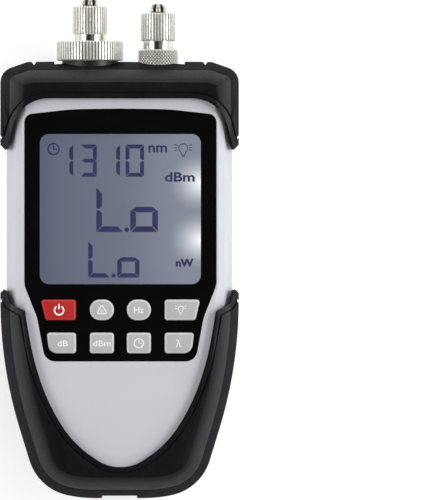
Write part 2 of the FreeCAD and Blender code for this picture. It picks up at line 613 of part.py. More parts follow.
def rear_housing(shell):
    """The rear half: battery bay, cover seat, tilt stand recess and screw bosses."""
    bay = box((-BAY_X - BAY_WALL, BAY_X + BAY_WALL), (BAY_LOW - BAY_WALL, BAY_HIGH + BAY_WALL),
              (FLOOR - 0.5, BAY_CEILING + BAY_WALL))
    channel_top = BACK_Z + STAND_THICK + STAND_GAP + BAY_WALL
    channel = stand_bail(STAND_GAP + BAY_WALL, FLOOR - 0.5, channel_top)
    across = STAND_HALF_WIDTH + STAND_PIN_LENGTH + BAY_WALL
    ends = box((-across, across),
               (STAND_HINGE_Y - STAND_THICK - BAY_WALL, STAND_HINGE_Y + STAND_THICK / 2 + STAND_GAP + BAY_WALL),
               (FLOOR - 0.5, channel_top))
    scoop_floor = box((-FINGER_SCOOP_HALF_WIDTH - BAY_WALL, FINGER_SCOOP_HALF_WIDTH + BAY_WALL),
                      (STAND_FOOT - FINGER_SCOOP_R, STAND_FOOT), (FLOOR - 0.5, channel_top))
    boss_top = BACK_Z + COVER_THICK + SCREW_GRIP + BAY_WALL
    cover_boss = post(SCREW_BOSS_R, 0, COVER_SCREW_Y, FLOOR - 0.5, boss_top)
    solids = [shell.common(box((-WIDE, WIDE), (-1, LONG), (0, MID - FIT / 2))), bay, channel, ends,
              scoop_floor, cover_boss, port_wall(0, MID - FIT / 2)]
    for x, y, meet in case_screws():
        solids.append(post(SCREW_BOSS_R, x, y, FLOOR - 0.5, meet - (FIT / 2 if meet == MID else 0)))
    rear = joined(solids)
    rear = rear.cut(box((-BAY_X, BAY_X), (BAY_LOW, BAY_HIGH), (BACK_Z - 1, BAY_CEILING)))
    rear = rear.cut(cover_plate(FIT, BACK_Z - 1, BACK_Z + COVER_THICK))
    rear = rear.cut(post(SCREW_R, 0, COVER_SCREW_Y, BACK_Z, BACK_Z + COVER_THICK + SCREW_GRIP))
    rear = rear.cut(stand_bail(STAND_GAP, BACK_Z - 1, BACK_Z + STAND_THICK + STAND_GAP))
    pins = stand_ends(STAND_GAP, STAND_THICK / 2 + STAND_GAP) + stand_pins(FIT)
    for shape in pins + contact_strips(STAND_GAP):
        rear = rear.cut(shape)
    for side in (-1, 1):
        centre = side * (STAND_HALF_WIDTH - STAND_LEG / 2)
        half = STAND_LEG / 2 + STAND_GAP
        rear = rear.cut(box((centre - half, centre + half),
                            (STAND_HINGE_Y - 1, STAND_HINGE_Y + STAND_THICK / 2 + STAND_GAP),
                            (BACK_Z - 1, STAND_HINGE_Z)))
    scoop = Part.makeCylinder(FINGER_SCOOP_R, 2 * FINGER_SCOOP_HALF_WIDTH,
                              V(-FINGER_SCOOP_HALF_WIDTH, STAND_FOOT, BACK_Z + STAND_THICK - FINGER_SCOOP_R),
                              V(1, 0, 0))
    rear = rear.cut(scoop.common(box((-WIDE, WIDE), (0, STAND_FOOT), (0, MID))))
    for x, y, meet in case_screws():
        rear = rear.cut(post(SCREW_R + FIT, x, y, 0, meet + 1))
        rear = rear.cut(post(SCREW_HEAD_R + FIT, x, y, 0, meet - SCREW_GRIP))
    return rear.cut(port_holes())


# ---------------------------------------------------------------- panel, display and keys
def control_panel():
    """The black panel, with the display opening and the key holes."""
    panel = prism(PANEL, PANEL_FLOOR, PANEL_FACE)
    panel = panel.cut(view_plate(0, PANEL_FLOOR - 1, CASE_DEPTH))
    for corners in key_outlines().values():
        panel = panel.cut(prism_of(grown(corners, KEY_GAP), PANEL_FLOOR - 1, CASE_DEPTH))
    return panel


def lcd_window():
    """The clear window: a flange behind the panel and a face that fills the panel's opening."""
    flange = view_plate(WINDOW_FLANGE, PANEL_FLOOR - WINDOW_PLATE, PANEL_FLOOR)
    return joined([flange, view_plate(-FIT, PANEL_FLOOR - WINDOW_PLATE / 2, PANEL_FACE - WINDOW_DROP)])


def lcd_glass():
    """The liquid crystal cell, with the lower glass showing a ledge along its connector edge."""
    upper = view_block(GLASS_BORDER, GLASS_BOTTOM + GLASS_THICK / 2, CEILING)
    ledge = box((-WIDE, WIDE), (0, VIEW_LOW - GLASS_BORDER / 2), (GLASS_BOTTOM + GLASS_THICK / 2, CEILING))
    return joined([upper.cut(ledge), view_block(GLASS_BORDER, GLASS_BOTTOM, GLASS_BOTTOM + GLASS_THICK / 2)])


def lcd_frame():
    """The moulded frame that locates the glass, the light guide and the connector strips on the board."""
    outer = view_block(GLASS_BORDER + FIT + FRAME_WALL, BOARD_TOP, CEILING)
    return outer.cut(view_block(GLASS_BORDER + FIT, BOARD_TOP - 1, CEILING + 1))


def backlight_guide():
    """The light guide behind the glass, on the main board."""
    return view_block(GUIDE_BORDER, BOARD_TOP, GLASS_BOTTOM)


def connector_strips():
    """The two elastomer strips between the glass and the board."""
    across = VIEW_HALF_WIDTH - 1
    low = VIEW_LOW - GUIDE_BORDER - STRIP_INSET
    high = VIEW_HIGH + GUIDE_BORDER + STRIP_INSET
    return Part.makeCompound([box((-across, across), (low - STRIP_WIDTH, low), (BOARD_TOP, GLASS_BOTTOM)),
                              box((-across, across), (high, high + STRIP_WIDTH), (BOARD_TOP, GLASS_BOTTOM))])


def main_board():
    """The main board, with clearance holes for its own screws and the upper case screws."""
    board = plate((-BOARD_HALF_WIDTH, BOARD_HALF_WIDTH), (BOARD_LOW, BOARD_HIGH), (BOARD_BOTTOM, BOARD_TOP), 1.5)
    for x, y in board_posts() + [(x, y) for x, y, meet in case_screws() if meet > MID]:
        board = board.cut(post(SCREW_R + FIT, x, y, BOARD_BOTTOM - 1, BOARD_TOP + 1))
    return board


def board_chips():
    """The meter's controller and amplifier, under the main board."""
    half = CHIP_SIZE / 2
    low = BOARD_BOTTOM - CHIP_THICK
    middle = VIEW_LOW + CHIP_RISE
    controller = plate((-half, half), (middle - half, middle + half), (low, BOARD_BOTTOM), 0.6)
    amplifier = plate((DETECTOR_X - half / 2, DETECTOR_X + half / 2),
                      (BOARD_HIGH - CHIP_SIZE, BOARD_HIGH - half), (low, BOARD_BOTTOM), 0.4)
    return Part.makeCompound([controller, amplifier])


def buzzer():
    """The sounder, under the main board."""
    can = post(BUZZER_R, BUZZER_X, BUZZER_Y, BOARD_BOTTOM - BUZZER_HEIGHT, BOARD_BOTTOM)
    return can.cut(post(BUZZER_R / 5, BUZZER_X, BUZZER_Y, 0, BOARD_BOTTOM - BUZZER_HEIGHT / 2))


def key_mat():
    """The silicone mat on the board, with one springy pad under each key."""
    across = PANEL_HALF_WIDTH - PANEL_WAIST_INSET - FIT
    low = KEY_ROW_LOW - KEY_HEIGHT / 2 - MAT_MARGIN
    high = KEY_ROW_HIGH + KEY_HEIGHT / 2 + MAT_MARGIN / 2
    shapes = [plate((-across, across), (low, high), (BOARD_TOP, BOARD_TOP + MAT_THICK), 1.0)]
    for corners in key_outlines().values():
        x, y = centre_of(corners)
        shapes.append(box((x - PAD_HALF, x + PAD_HALF), (y - PAD_HALF, y + PAD_HALF),
                          (BOARD_TOP, KEY_BOTTOM - FIT)))
    return joined(shapes)


def key_cap(corners):
    """One key: a cap with bevelled top edges over a retaining flange."""
    cap = prism_of(corners, KEY_BOTTOM, KEY_TOP)
    rim = [e for e in cap.Edges if e.BoundBox.ZMin > KEY_TOP - 0.01]
    cap = cap.makeChamfer(KEY_BEVEL, rim)
    return joined([cap, prism_of(grown(corners, KEY_FLANGE), KEY_BOTTOM, KEY_STOP)])


# ---------------------------------------------------------------- screws, battery and stand
def screw(x, y, head_low, grip, head_height=SCREW_HEAD):
    """A pan-head screw along +Z, with its head's outer face at head_low."""
    head = post(SCREW_HEAD_R, x, y, head_low, head_low + head_height)
    shank = post(SCREW_R - FIT / 2, x, y, head_low, head_low + head_height + grip)
    return joined([head, shank])


def housing_screws():
    """The four case screws, driven from the back."""
    shapes = []
    for x, y, meet in case_screws():
        low = BOARD_TOP if meet > MID else MID
        head = meet - SCREW_GRIP - SCREW_HEAD
        shapes.append(screw(x, y, head, low + SCREW_HOLD - FIT - head - SCREW_HEAD))
    return Part.makeCompound(shapes)


def board_screws():
    """The two screws that hold the main board to the front half."""
    return Part.makeCompound([screw(x, y, BOARD_BOTTOM - SCREW_HEAD, BOARD_THICK + SCREW_HOLD - FIT)
                              for x, y in board_posts()])


def battery_cover():
    """The battery cover, flush with the back, with finger ribs and a screw tongue."""
    cover = cover_plate(0, BACK_Z, BACK_Z + COVER_THICK)
    for step in range(4):
        y = BAY_LOW + 6 + 2.4 * step
        cover = cover.cut(plate((-BAY_X * 0.55, BAY_X * 0.55), (y - 0.6, y + 0.6),
                                (BACK_Z - 1, BACK_Z + 0.5), 0.55))
    cover = cover.cut(post(SCREW_R + FIT, 0, COVER_SCREW_Y, 0, MID))
    return cover.cut(post(SCREW_HEAD_R + FIT, 0, COVER_SCREW_Y, 0, BACK_Z + COVER_SCREW_HEAD))


def cover_screw():
    """The battery cover's screw."""
    grip = COVER_THICK - COVER_SCREW_HEAD + SCREW_GRIP - FIT
    return screw(0, COVER_SCREW_Y, BACK_Z, grip, COVER_SCREW_HEAD)


def battery():
    """The 9 V block, with its two terminals towards the ports."""
    half = BATTERY_WIDTH / 2
    block = box((-half, half), (BATTERY_LOW, BATTERY_HIGH), (BATTERY_Z, BATTERY_Z + BATTERY_DEPTH))
    long_edges = [e for e in block.Edges if e.BoundBox.YLength > BATTERY_LENGTH / 2]
    block = block.makeFillet(BATTERY_EDGE, long_edges)
    studs = []
    for side in (-1, 1):
        foot = V(side * TERMINAL_X, BATTERY_HIGH - 0.3, BATTERY_MID)
        studs.append(Part.makeCylinder(TERMINAL_R, TERMINAL_LENGTH + 0.3, foot, V(0, 1, 0)))
    return joined([block] + studs)


def battery_snap():
    """The terminal block that clips over the battery's studs."""
    low = BATTERY_HIGH + FIT
    block = plate((-SNAP_HALF_WIDTH, SNAP_HALF_WIDTH), (low, low + SNAP_THICK),
                  (BATTERY_MID - SNAP_DEPTH / 2, BATTERY_MID + SNAP_DEPTH / 2), 0.8)
    for side in (-1, 1):
        block = block.cut(Part.makeCylinder(TERMINAL_R + FIT, TERMINAL_LENGTH + 0.2,
                                            V(side * TERMINAL_X, BATTERY_HIGH, BATTERY_MID), V(0, 1, 0)))
    return block


def battery_contacts():
    """The two contact strips from the terminal block to the main board."""
    return Part.makeCompound(contact_strips(0))


def tilt_stand():
    """The tilt stand: a U-shaped bail with round hinge ends and pins."""
    bail = stand_bail(0, BACK_Z, BACK_Z + STAND_THICK)
    return joined([bail] + stand_ends(0, STAND_THICK / 2) + stand_pins(0))


# ---------------------------------------------------------------- ports
def knurled(radius, teeth, x, low, high, chamfer):
    """A straight-knurled disc about a port axis, chamfered at both ends."""
    points = []
    for step in range(2 * teeth):
        angle = math.pi * step / teeth
        r = radius if step % 2 else radius - KNURL_DEPTH
        points.append(V(x + r * math.cos(angle), low, PORT_Z + r * math.sin(angle)))
    blank = Part.Face(Part.makePolygon(points + [points[0]])).extrude(V(0, high - low, 0))
    outline = turned([(0, low), (radius - chamfer, low), (radius + 0.01, low + chamfer),
                      (radius + 0.01, high - chamfer), (radius - chamfer, high), (0, high)], x)
    return blank.common(outline)


def detector_socket():
    """The detector's threaded socket, held by a flange inside the end wall."""
    bore = DIODE_R + FIT
    return turned([(bore, PORT_WALL - FLANGE_THICK), (SOCKET_FLANGE_R, PORT_WALL - FLANGE_THICK),
                   (SOCKET_FLANGE_R, PORT_WALL), (SOCKET_R, PORT_WALL), (SOCKET_R, SOCKET_TOP - 0.5),
                   (SOCKET_R - 0.5, SOCKET_TOP), (bore, SOCKET_TOP)], DETECTOR_X)


def lead_pins(x, start, count, circle):
    """Round leads that run back from a part at start."""
    pins = []
    for step in range(count):
        angle = 2 * math.pi * step / count
        base = V(x + circle * math.cos(angle), start, PORT_Z + circle * math.sin(angle))
        pins.append(Part.makeCylinder(PIN_R, PIN_LENGTH, base, V(0, -1, 0)))
    return pins


def photodiode():
    """The photodiode: a can with a header and three leads."""
    back = PORT_WALL - FLANGE_THICK - DIODE_BACK
    header = PORT_WALL - FLANGE_THICK
    can = turned([(0, back), (DIODE_HEADER_R, back), (DIODE_HEADER_R, header), (DIODE_R, header),
                  (DIODE_R, SOCKET_TOP - 1.0), (DIODE_R - 1.0, SOCKET_TOP - 1.0),
                  (DIODE_R - 1.0, SOCKET_TOP - 1.4), (0, SOCKET_TOP - 1.4)], DETECTOR_X)
    return joined([can] + lead_pins(DETECTOR_X, back + 0.2, 3, DIODE_R / 2))


def coupling_ring():
    """The knurled ring that draws the adapter onto the socket, with an inner lip over the adapter's flange."""
    ring = knurled(RING_R, RING_TEETH, DETECTOR_X, PORT_BASE, RING_TOP, 0.6)
    ring = ring.cut(rod(SOCKET_R + THREAD_FIT, DETECTOR_X, PORT_BASE - 1, RING_TOP - RING_LIP))
    return ring.cut(rod(NECK_R + THREAD_FIT, DETECTOR_X, PORT_BASE, RING_TOP + 1))


def fc_barrel(x, low, start_profile):
    """An FC adapter body: start_profile, then the thread, the mouth, the sleeve bore and the key slot."""
    top = low + FC_THREAD_LENGTH
    bore = SLEEVE_R + FIT
    profile = start_profile + [(NECK_R, low), (FC_THREAD_R, low), (FC_THREAD_R, top - 0.4),
                               (FC_THREAD_R - 0.4, top), (FC_MOUTH_R, top), (FC_MOUTH_R, top - FC_MOUTH_DEPTH),
                               (bore, top - FC_MOUTH_DEPTH), (bore, start_profile[0][1])]
    body = turned(profile, x)
    slot = box((x - FC_SLOT_WIDTH / 2, x + FC_SLOT_WIDTH / 2), (top - FC_SLOT_DEPTH, top + 1),
               (PORT_Z, PORT_Z + 2 * FC_THREAD_R))
    return body.cut(slot)


def detector_adapter():
    """The adapter body on the detector: flange, neck and FC barrel."""
    low = SOCKET_TOP + FIT
    lip = RING_TOP - RING_LIP - THREAD_FIT
    start = [(SLEEVE_R + FIT, low), (ADAPTER_FLANGE_R, low), (ADAPTER_FLANGE_R, lip), (NECK_R, lip)]
    return fc_barrel(DETECTOR_X, DETECTOR_CAP_LOW, start)


def source_receptacle():
    """The light source's body: inner flange, stem through the end wall, neck and FC barrel."""
    start = [(SLEEVE_R + FIT, PORT_WALL - FLANGE_THICK), (SOURCE_FLANGE_R, PORT_WALL - FLANGE_THICK),
             (SOURCE_FLANGE_R, PORT_WALL), (SOURCE_BODY_R, PORT_WALL),
             (SOURCE_BODY_R, PORT_BASE + COLLAR_LENGTH), (NECK_R, PORT_BASE + COLLAR_LENGTH)]
    return fc_barrel(SOURCE_X, SOURCE_CAP_LOW, start)


def source_collar():
    """The collar nut that holds the source body to the end wall."""
    high = PORT_BASE + COLLAR_LENGTH
    return turned([(SOURCE_BODY_R + FIT, SHELL_TOP), (COLLAR_R, SHELL_TOP), (COLLAR_R, high - 0.5),
                   (COLLAR_R - 0.5, high), (SOURCE_BODY_R + FIT, high)], SOURCE_X)


def source_module():
    """The laser module behind the source body, with a ferrule that reaches into it and four leads."""
    front = PORT_WALL - FLANGE_THICK
    back = front - SOURCE_MODULE_LENGTH
    body = turned([(0, back), (SOURCE_MODULE_R + 0.8, back), (SOURCE_MODULE_R + 0.8, back + 1.5),
                   (SOURCE_MODULE_R, back + 1.5), (SOURCE_MODULE_R, front), (FERRULE_R, front),
                   (FERRULE_R, SOURCE_CAP_LOW + FC_THREAD_LENGTH - FC_MOUTH_DEPTH - 1.0),
                   (0, SOURCE_CAP_LOW + FC_THREAD_LENGTH - FC_MOUTH_DEPTH - 1.0)], SOURCE_X)
    return joined([body] + lead_pins(SOURCE_X, back + 0.2, 4, SOURCE_MODULE_R / 2))


def sleeve(x, barrel_low):
    """The ceramic alignment sleeve, seated in the barrel and standing up in its mouth."""
    top = barrel_low + FC_THREAD_LENGTH - 0.6
    tube = rod(SLEEVE_R, x, top - SLEEVE_LENGTH, top)
    return tube.cut(rod(FERRULE_R + FIT, x, top - SLEEVE_LENGTH - 1, top + 1))


def dust_cap(x, low):
    """A knurled screw cap, bored for the barrel's thread and for its swivel's rivet."""
    high = low + CAP_LENGTH
    cap = knurled(CAP_R, CAP_TEETH, x, low, high, 0.5)
    cap = cap.cut(rod(FC_THREAD_R + THREAD_FIT, x, low - 1, high - CAP_TOP_WALL))
    return cap.cut(rod(RIVET_R + FIT, x, low, high + 1))


def cap_swivel(x, low):
    """The swivel on a dust cap: a crowned head over a rivet, which stays still while the cap turns."""
    high = low + CAP_LENGTH
    inner = high - CAP_TOP_WALL
    head = turned([(0, inner - FIT - RIVET_HEAD), (RIVET_HEAD_R, inner - FIT - RIVET_HEAD),
                   (RIVET_HEAD_R, inner - FIT), (RIVET_R, inner - FIT), (RIVET_R, high + FIT),
                   (CROWN_R, high + FIT), (CROWN_R, high + CROWN_HEIGHT - 0.5),
                   (CROWN_R - 0.5, high + CROWN_HEIGHT), (CROWN_BORE_R, high + CROWN_HEIGHT),
                   (CROWN_BORE_R, high + CROWN_BASE), (0, high + CROWN_BASE)], x)
    for step in range(CROWN_PETALS // 2):
        cutter = box((x - WIDE, x + WIDE), (high + CROWN_BASE, high + CROWN_HEIGHT + 1),
                     (PORT_Z - CROWN_SLOT / 2, PORT_Z + CROWN_SLOT / 2))
        cutter.rotate(V(x, 0, PORT_Z), V(0, 1, 0), 360 * step / CROWN_PETALS)
        head = head.cut(cutter)
    return head


# ---------------------------------------------------------------- all parts
def build():
    """Every sub-part, by node name."""
    rubber = rubber_shell()
    plastic = housing_shell()
    parts = {
        "front_housing": front_housing(plastic),
        "rear_housing": rear_housing(plastic),
        "upper_bumper": upper_bumper(rubber),
        "lower_bumper": lower_bumper(rubber),
        "control_panel": control_panel(),
        "lcd_window": lcd_window(),
        "lcd_glass": lcd_glass(),
        "lcd_frame": lcd_frame(),
        "backlight_guide": backlight_guide(),
        "connector_strips": connector_strips(),
        "main_board": main_board(),
        "board_chips": board_chips(),
        "buzzer": buzzer(),
        "key_mat": key_mat(),
        "housing_screws": housing_screws(),
        "board_screws": board_screws(),
        "battery": battery(),
        "battery_snap": battery_snap(),
        "battery_contacts": battery_contacts(),
        "battery_cover": battery_cover(),
        "cover_screw": cover_screw(),
        "tilt_stand": tilt_stand(),
        "detector_socket": detector_socket(),
        "photodiode": photodiode(),
        "coupling_ring": coupling_ring(),
        "detector_adapter": detector_adapter(),
        "detector_sleeve": sleeve(DETECTOR_X, DETECTOR_CAP_LOW),
        "detector_cap": dust_cap(DETECTOR_X, DETECTOR_CAP_LOW),
        "detector_cap_swivel": cap_swivel(DETECTOR_X, DETECTOR_CAP_LOW),
        "source_collar": source_collar(),
        "source_receptacle": source_receptacle(),
        "source_module": source_module(),
        "source_sleeve": sleeve(SOURCE_X, SOURCE_CAP_LOW),
        "source_cap": dust_cap(SOURCE_X, SOURCE_CAP_LOW),
        "source_cap_swivel": cap_swivel(SOURCE_X, SOURCE_CAP_LOW),
    }
    for name, corners in key_outlines().items():
        parts[name + "_key"] = key_cap(corners)
    return parts


os.makedirs("parts", exist_ok=True)
for node, solid in build().items():
    save(node, solid)
    print(node, "solids", len(solid.Solids), "volume", round(solid.Volume, 2), "valid", solid.isValid())
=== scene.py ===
import json
import logging
import math
from dataclasses import dataclass, field
from enum import Enum
from typing import Callable, Iterable, Optional, Sequence

import bmesh
import bpy
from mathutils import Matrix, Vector

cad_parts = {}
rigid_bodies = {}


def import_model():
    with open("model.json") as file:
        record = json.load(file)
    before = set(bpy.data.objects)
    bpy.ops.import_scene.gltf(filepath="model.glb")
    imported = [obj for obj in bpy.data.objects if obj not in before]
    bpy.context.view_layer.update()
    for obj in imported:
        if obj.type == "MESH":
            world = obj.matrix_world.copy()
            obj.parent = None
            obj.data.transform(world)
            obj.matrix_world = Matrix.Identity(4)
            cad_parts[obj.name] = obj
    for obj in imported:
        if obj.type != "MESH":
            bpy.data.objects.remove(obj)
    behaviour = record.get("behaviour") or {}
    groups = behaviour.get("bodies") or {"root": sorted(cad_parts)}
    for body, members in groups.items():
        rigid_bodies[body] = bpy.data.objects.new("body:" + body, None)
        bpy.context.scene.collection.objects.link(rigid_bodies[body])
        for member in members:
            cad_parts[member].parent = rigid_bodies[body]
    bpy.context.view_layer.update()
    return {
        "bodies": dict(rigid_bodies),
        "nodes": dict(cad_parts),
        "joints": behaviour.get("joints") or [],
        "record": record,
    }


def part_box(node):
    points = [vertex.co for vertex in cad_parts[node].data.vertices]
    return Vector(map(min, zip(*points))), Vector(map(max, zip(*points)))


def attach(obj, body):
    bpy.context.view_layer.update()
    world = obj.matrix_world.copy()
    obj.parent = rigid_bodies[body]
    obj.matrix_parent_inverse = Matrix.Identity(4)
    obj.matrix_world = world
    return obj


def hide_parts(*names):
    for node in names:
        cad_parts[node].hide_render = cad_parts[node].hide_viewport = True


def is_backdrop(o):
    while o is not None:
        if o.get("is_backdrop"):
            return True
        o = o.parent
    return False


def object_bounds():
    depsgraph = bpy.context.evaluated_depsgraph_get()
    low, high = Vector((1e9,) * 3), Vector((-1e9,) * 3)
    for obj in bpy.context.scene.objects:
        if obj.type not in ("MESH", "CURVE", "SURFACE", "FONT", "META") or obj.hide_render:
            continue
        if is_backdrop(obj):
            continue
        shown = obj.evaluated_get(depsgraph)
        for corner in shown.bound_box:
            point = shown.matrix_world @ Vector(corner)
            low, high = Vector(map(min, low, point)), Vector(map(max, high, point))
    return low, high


LOG = logging.getLogger("power_meter")
MM = 0.001
TAU = 2 * math.pi
FULL_CUT = 0.36  # millimetres of cut at which the painted shade in a groove is full
ROUNDING_FACES = 2

Colour = tuple[float, float, float]
Point = tuple[float, float]
Socket = bpy.types.NodeSocket


def srgb(red: float, green: float, blue: float) -> Colour:
    """Turn an 8-bit display colour into linear light.

    Args:
        red, green, blue: levels from 0 to 255.

    Returns:
        The same colour as linear values from 0 to 1.
    """
    def linear(level: float) -> float:
        """Return one channel as linear light."""
        part = level / 255
        return part / 12.92 if part <= 0.04045 else ((part + 0.055) / 1.055) ** 2.4

    return (linear(red), linear(green), linear(blue))


def scaled(colour: Colour, factor: float) -> Colour:
    """Return a colour made lighter or darker by a factor, held at 1."""
    return tuple(min(1.0, part * factor) for part in colour)


# ---------------------------------------------------------------- node graphs
class Graph:
    """The node tree of a material or a world, with short ways to add what they share."""

    def __init__(self, holder: bpy.types.ID) -> None:
        """Start an empty node tree.

        Args:
            holder: the new material or world that holds it.
        """
        self.holder = holder
        holder.use_nodes = True
        self.tree = holder.node_tree
        self.tree.nodes.clear()
        self.where = self.node("ShaderNodeTexCoord")
        self.place = self.where.outputs["Object"]

    def node(self, kind: str, inputs: Optional[dict] = None, **settings: object) -> bpy.types.Node:
        """Add a node.

        Args:
            kind: the node's class name.
            inputs: input name or index to a value, or to the socket that feeds it.
            settings: properties of the node itself.

        Returns:
            The new node.
        """
        made = self.tree.nodes.new(kind)
        for key, value in settings.items():
            setattr(made, key, value)
        for key, value in (inputs or {}).items():
            if isinstance(value, Socket):
                self.tree.links.new(value, made.inputs[key])
            else:
                made.inputs[key].default_value = value
        return made

    def noise(self, scale: float, detail: float = 2.0, stretch: Colour = (1, 1, 1)) -> Socket:
        """Add noise over the object's own coordinates.

        Args:
            scale: features per metre.
            detail: octaves.
            stretch: extra scale along x, y and z.

        Returns:
            The noise factor.
        """
        where = self.place
        if stretch != (1, 1, 1):
            where = self.node("ShaderNodeMapping", {"Vector": where, "Scale": stretch}).outputs[0]
        made = self.node("ShaderNodeTexNoise", {"Vector": where, "Scale": scale, "Detail": detail})
        return made.outputs[0]

    def cells(self, scale: float) -> Socket:
        """Add rounded cells, for moulded grain.

        Args:
            scale: cells per metre.

        Returns:
            The distance to each cell's middle.
        """
        made = self.node("ShaderNodeTexVoronoi", {"Vector": self.place, "Scale": scale}, feature="SMOOTH_F1")
        return made.outputs["Distance"]

    def spread(self, factor: Socket, low: float, high: float, start: float = 0.3, end: float = 0.7) -> Socket:
        """Map a factor from start..end onto low..high.

        Args:
            factor: the value to map.
            low, high: results at the two ends.
            start, end: factor values at the two ends.

        Returns:
            The mapped value.
        """
        made = self.node("ShaderNodeMapRange", {"Value": factor, "From Min": start, "From Max": end,
                                                "To Min": low, "To Max": high})
        return made.outputs["Result"]

    def ramp(self, factor: Socket, stops: Sequence[tuple[float, Colour]]) -> Socket:
        """Colour a factor.

        Args:
            factor: the value to colour.
            stops: position and colour of each stop, in order.

        Returns:
            The colour.
        """
        made = self.node("ShaderNodeValToRGB", {"Fac": factor})
        elements = made.color_ramp.elements
        while len(elements) < len(stops):
            elements.new(0.5)
        for element, (position, colour) in zip(elements, stops):
            element.position = position
            element.color = (*colour, 1)
        return made.outputs["Color"]

    def mixed(self, factor: Socket, first: object, second: object) -> Socket:
        """Blend two colours.

        Args:
            factor: 0 for the first, 1 for the second.
            first, second: colours or sockets.

        Returns:
            The blended colour.
        """
        def value(colour: object) -> object:
            """Return a socket as it is, and a colour with its fourth value."""
            return colour if isinstance(colour, Socket) else (*colour, 1)

        made = self.node("ShaderNodeMixRGB", {"Fac": factor, "Color1": value(first), "Color2": value(second)})
        return made.outputs[0]

    def sums(self, kind: str, *values: object) -> Socket:
        """Add a math node.

        Args:
            kind: the operation.
            values: numbers or sockets, in order.

        Returns:
            The result.
        """
        made = self.node("ShaderNodeMath", dict(enumerate(values)), operation=kind)
        return made.outputs[0]

    def bump(self, height: Socket, depth: float, below: Optional[Socket] = None) -> Socket:
        """Turn a height into a normal.

        Args:
            height: the height, from 0 to 1.
            depth: its depth in millimetres.
            below: a normal to build on.

        Returns:
            The normal.
        """
        inputs = {"Height": height, "Distance": depth * MM, "Strength": 1.0}
        if below is not None:
            inputs["Normal"] = below
        return self.node("ShaderNodeBump", inputs).outputs[0]

    def surface(self, shader: Socket) -> bpy.types.Material:
        """Feed the material's output.

        Args:
            shader: the finished shader.

        Returns:
            The material.
        """
        self.node("ShaderNodeOutputMaterial", {"Surface": shader})
        return self.holder

    def principled(self, **inputs: object) -> Socket:
        """Add the main shader.

        Args:
            inputs: input names, with _ for each space, and their values or sockets.

        Returns:
            The shader socket.
        """
        named = {}
        for key, value in inputs.items():
            if isinstance(value, tuple) and len(value) == 3:
                value = (*value, 1)
            named[key.replace("_", " ")] = value
        return self.node("ShaderNodeBsdfPrincipled", named).outputs[0]


# ---------------------------------------------------------------- finishes
@dataclass(frozen=True)
class Finish:
    """A named finish that can make its material."""

    name: str

    def graph(self) -> Graph:
        """Return an empty node tree in a new material of this name."""
        return Graph(bpy.data.materials.new(self.name))

    def material(self) -> bpy.types.Material:
        """Return the finish as a new material."""
        raise NotImplementedError


@dataclass(frozen=True)
class Moulded(Finish):
    """Moulded plastic, silicone or coated metal with a fine texture, optionally with a painted highlight in a lighter
    rim colour on its sloping faces.
    """

    colour: Colour = (0.5, 0.5, 0.5)
    mottle: float = 0.04
    mottle_scale: float = 90.0
    roughness: float = 0.45
    swing: float = 0.05
    grain: float = 0.01
    grain_scale: float = 3000.0
    metallic: float = 0.0
    # rim: colour of a painted highlight on faces that slope away from straight up
    rim: Optional[Colour] = None
    rim_highlight_from: float = 0.55
    rim_highlight_to: float = 0.98

    def material(self) -> bpy.types.Material:
        """Build the finish.

        Returns:
            A new material.
        """
        graph = self.graph()
        tone = graph.noise(self.mottle_scale, 4)
        colour = graph.ramp(tone, [(0.25, scaled(self.colour, 1 - self.mottle)),
                                   (0.75, scaled(self.colour, 1 + self.mottle))])
        # Painted highlight: faces sloping away from straight up take the lighter rim colour.
        if self.rim:
            normal = graph.node("ShaderNodeNewGeometry").outputs["True Normal"]
            upright = graph.node("ShaderNodeSeparateXYZ", {0: normal}).outputs["Z"]
            colour = graph.mixed(graph.spread(upright, 1, 0, self.rim_highlight_from, self.rim_highlight_to), colour, self.rim)
        rough = graph.spread(graph.noise(self.grain_scale / 8, 3), self.roughness - self.swing,
                             self.roughness + self.swing)
        height = graph.cells(self.grain_scale)
        return graph.surface(graph.principled(
            Base_Color=colour, Roughness=rough, Normal=graph.bump(height, self.grain),
            Metallic=self.metallic))


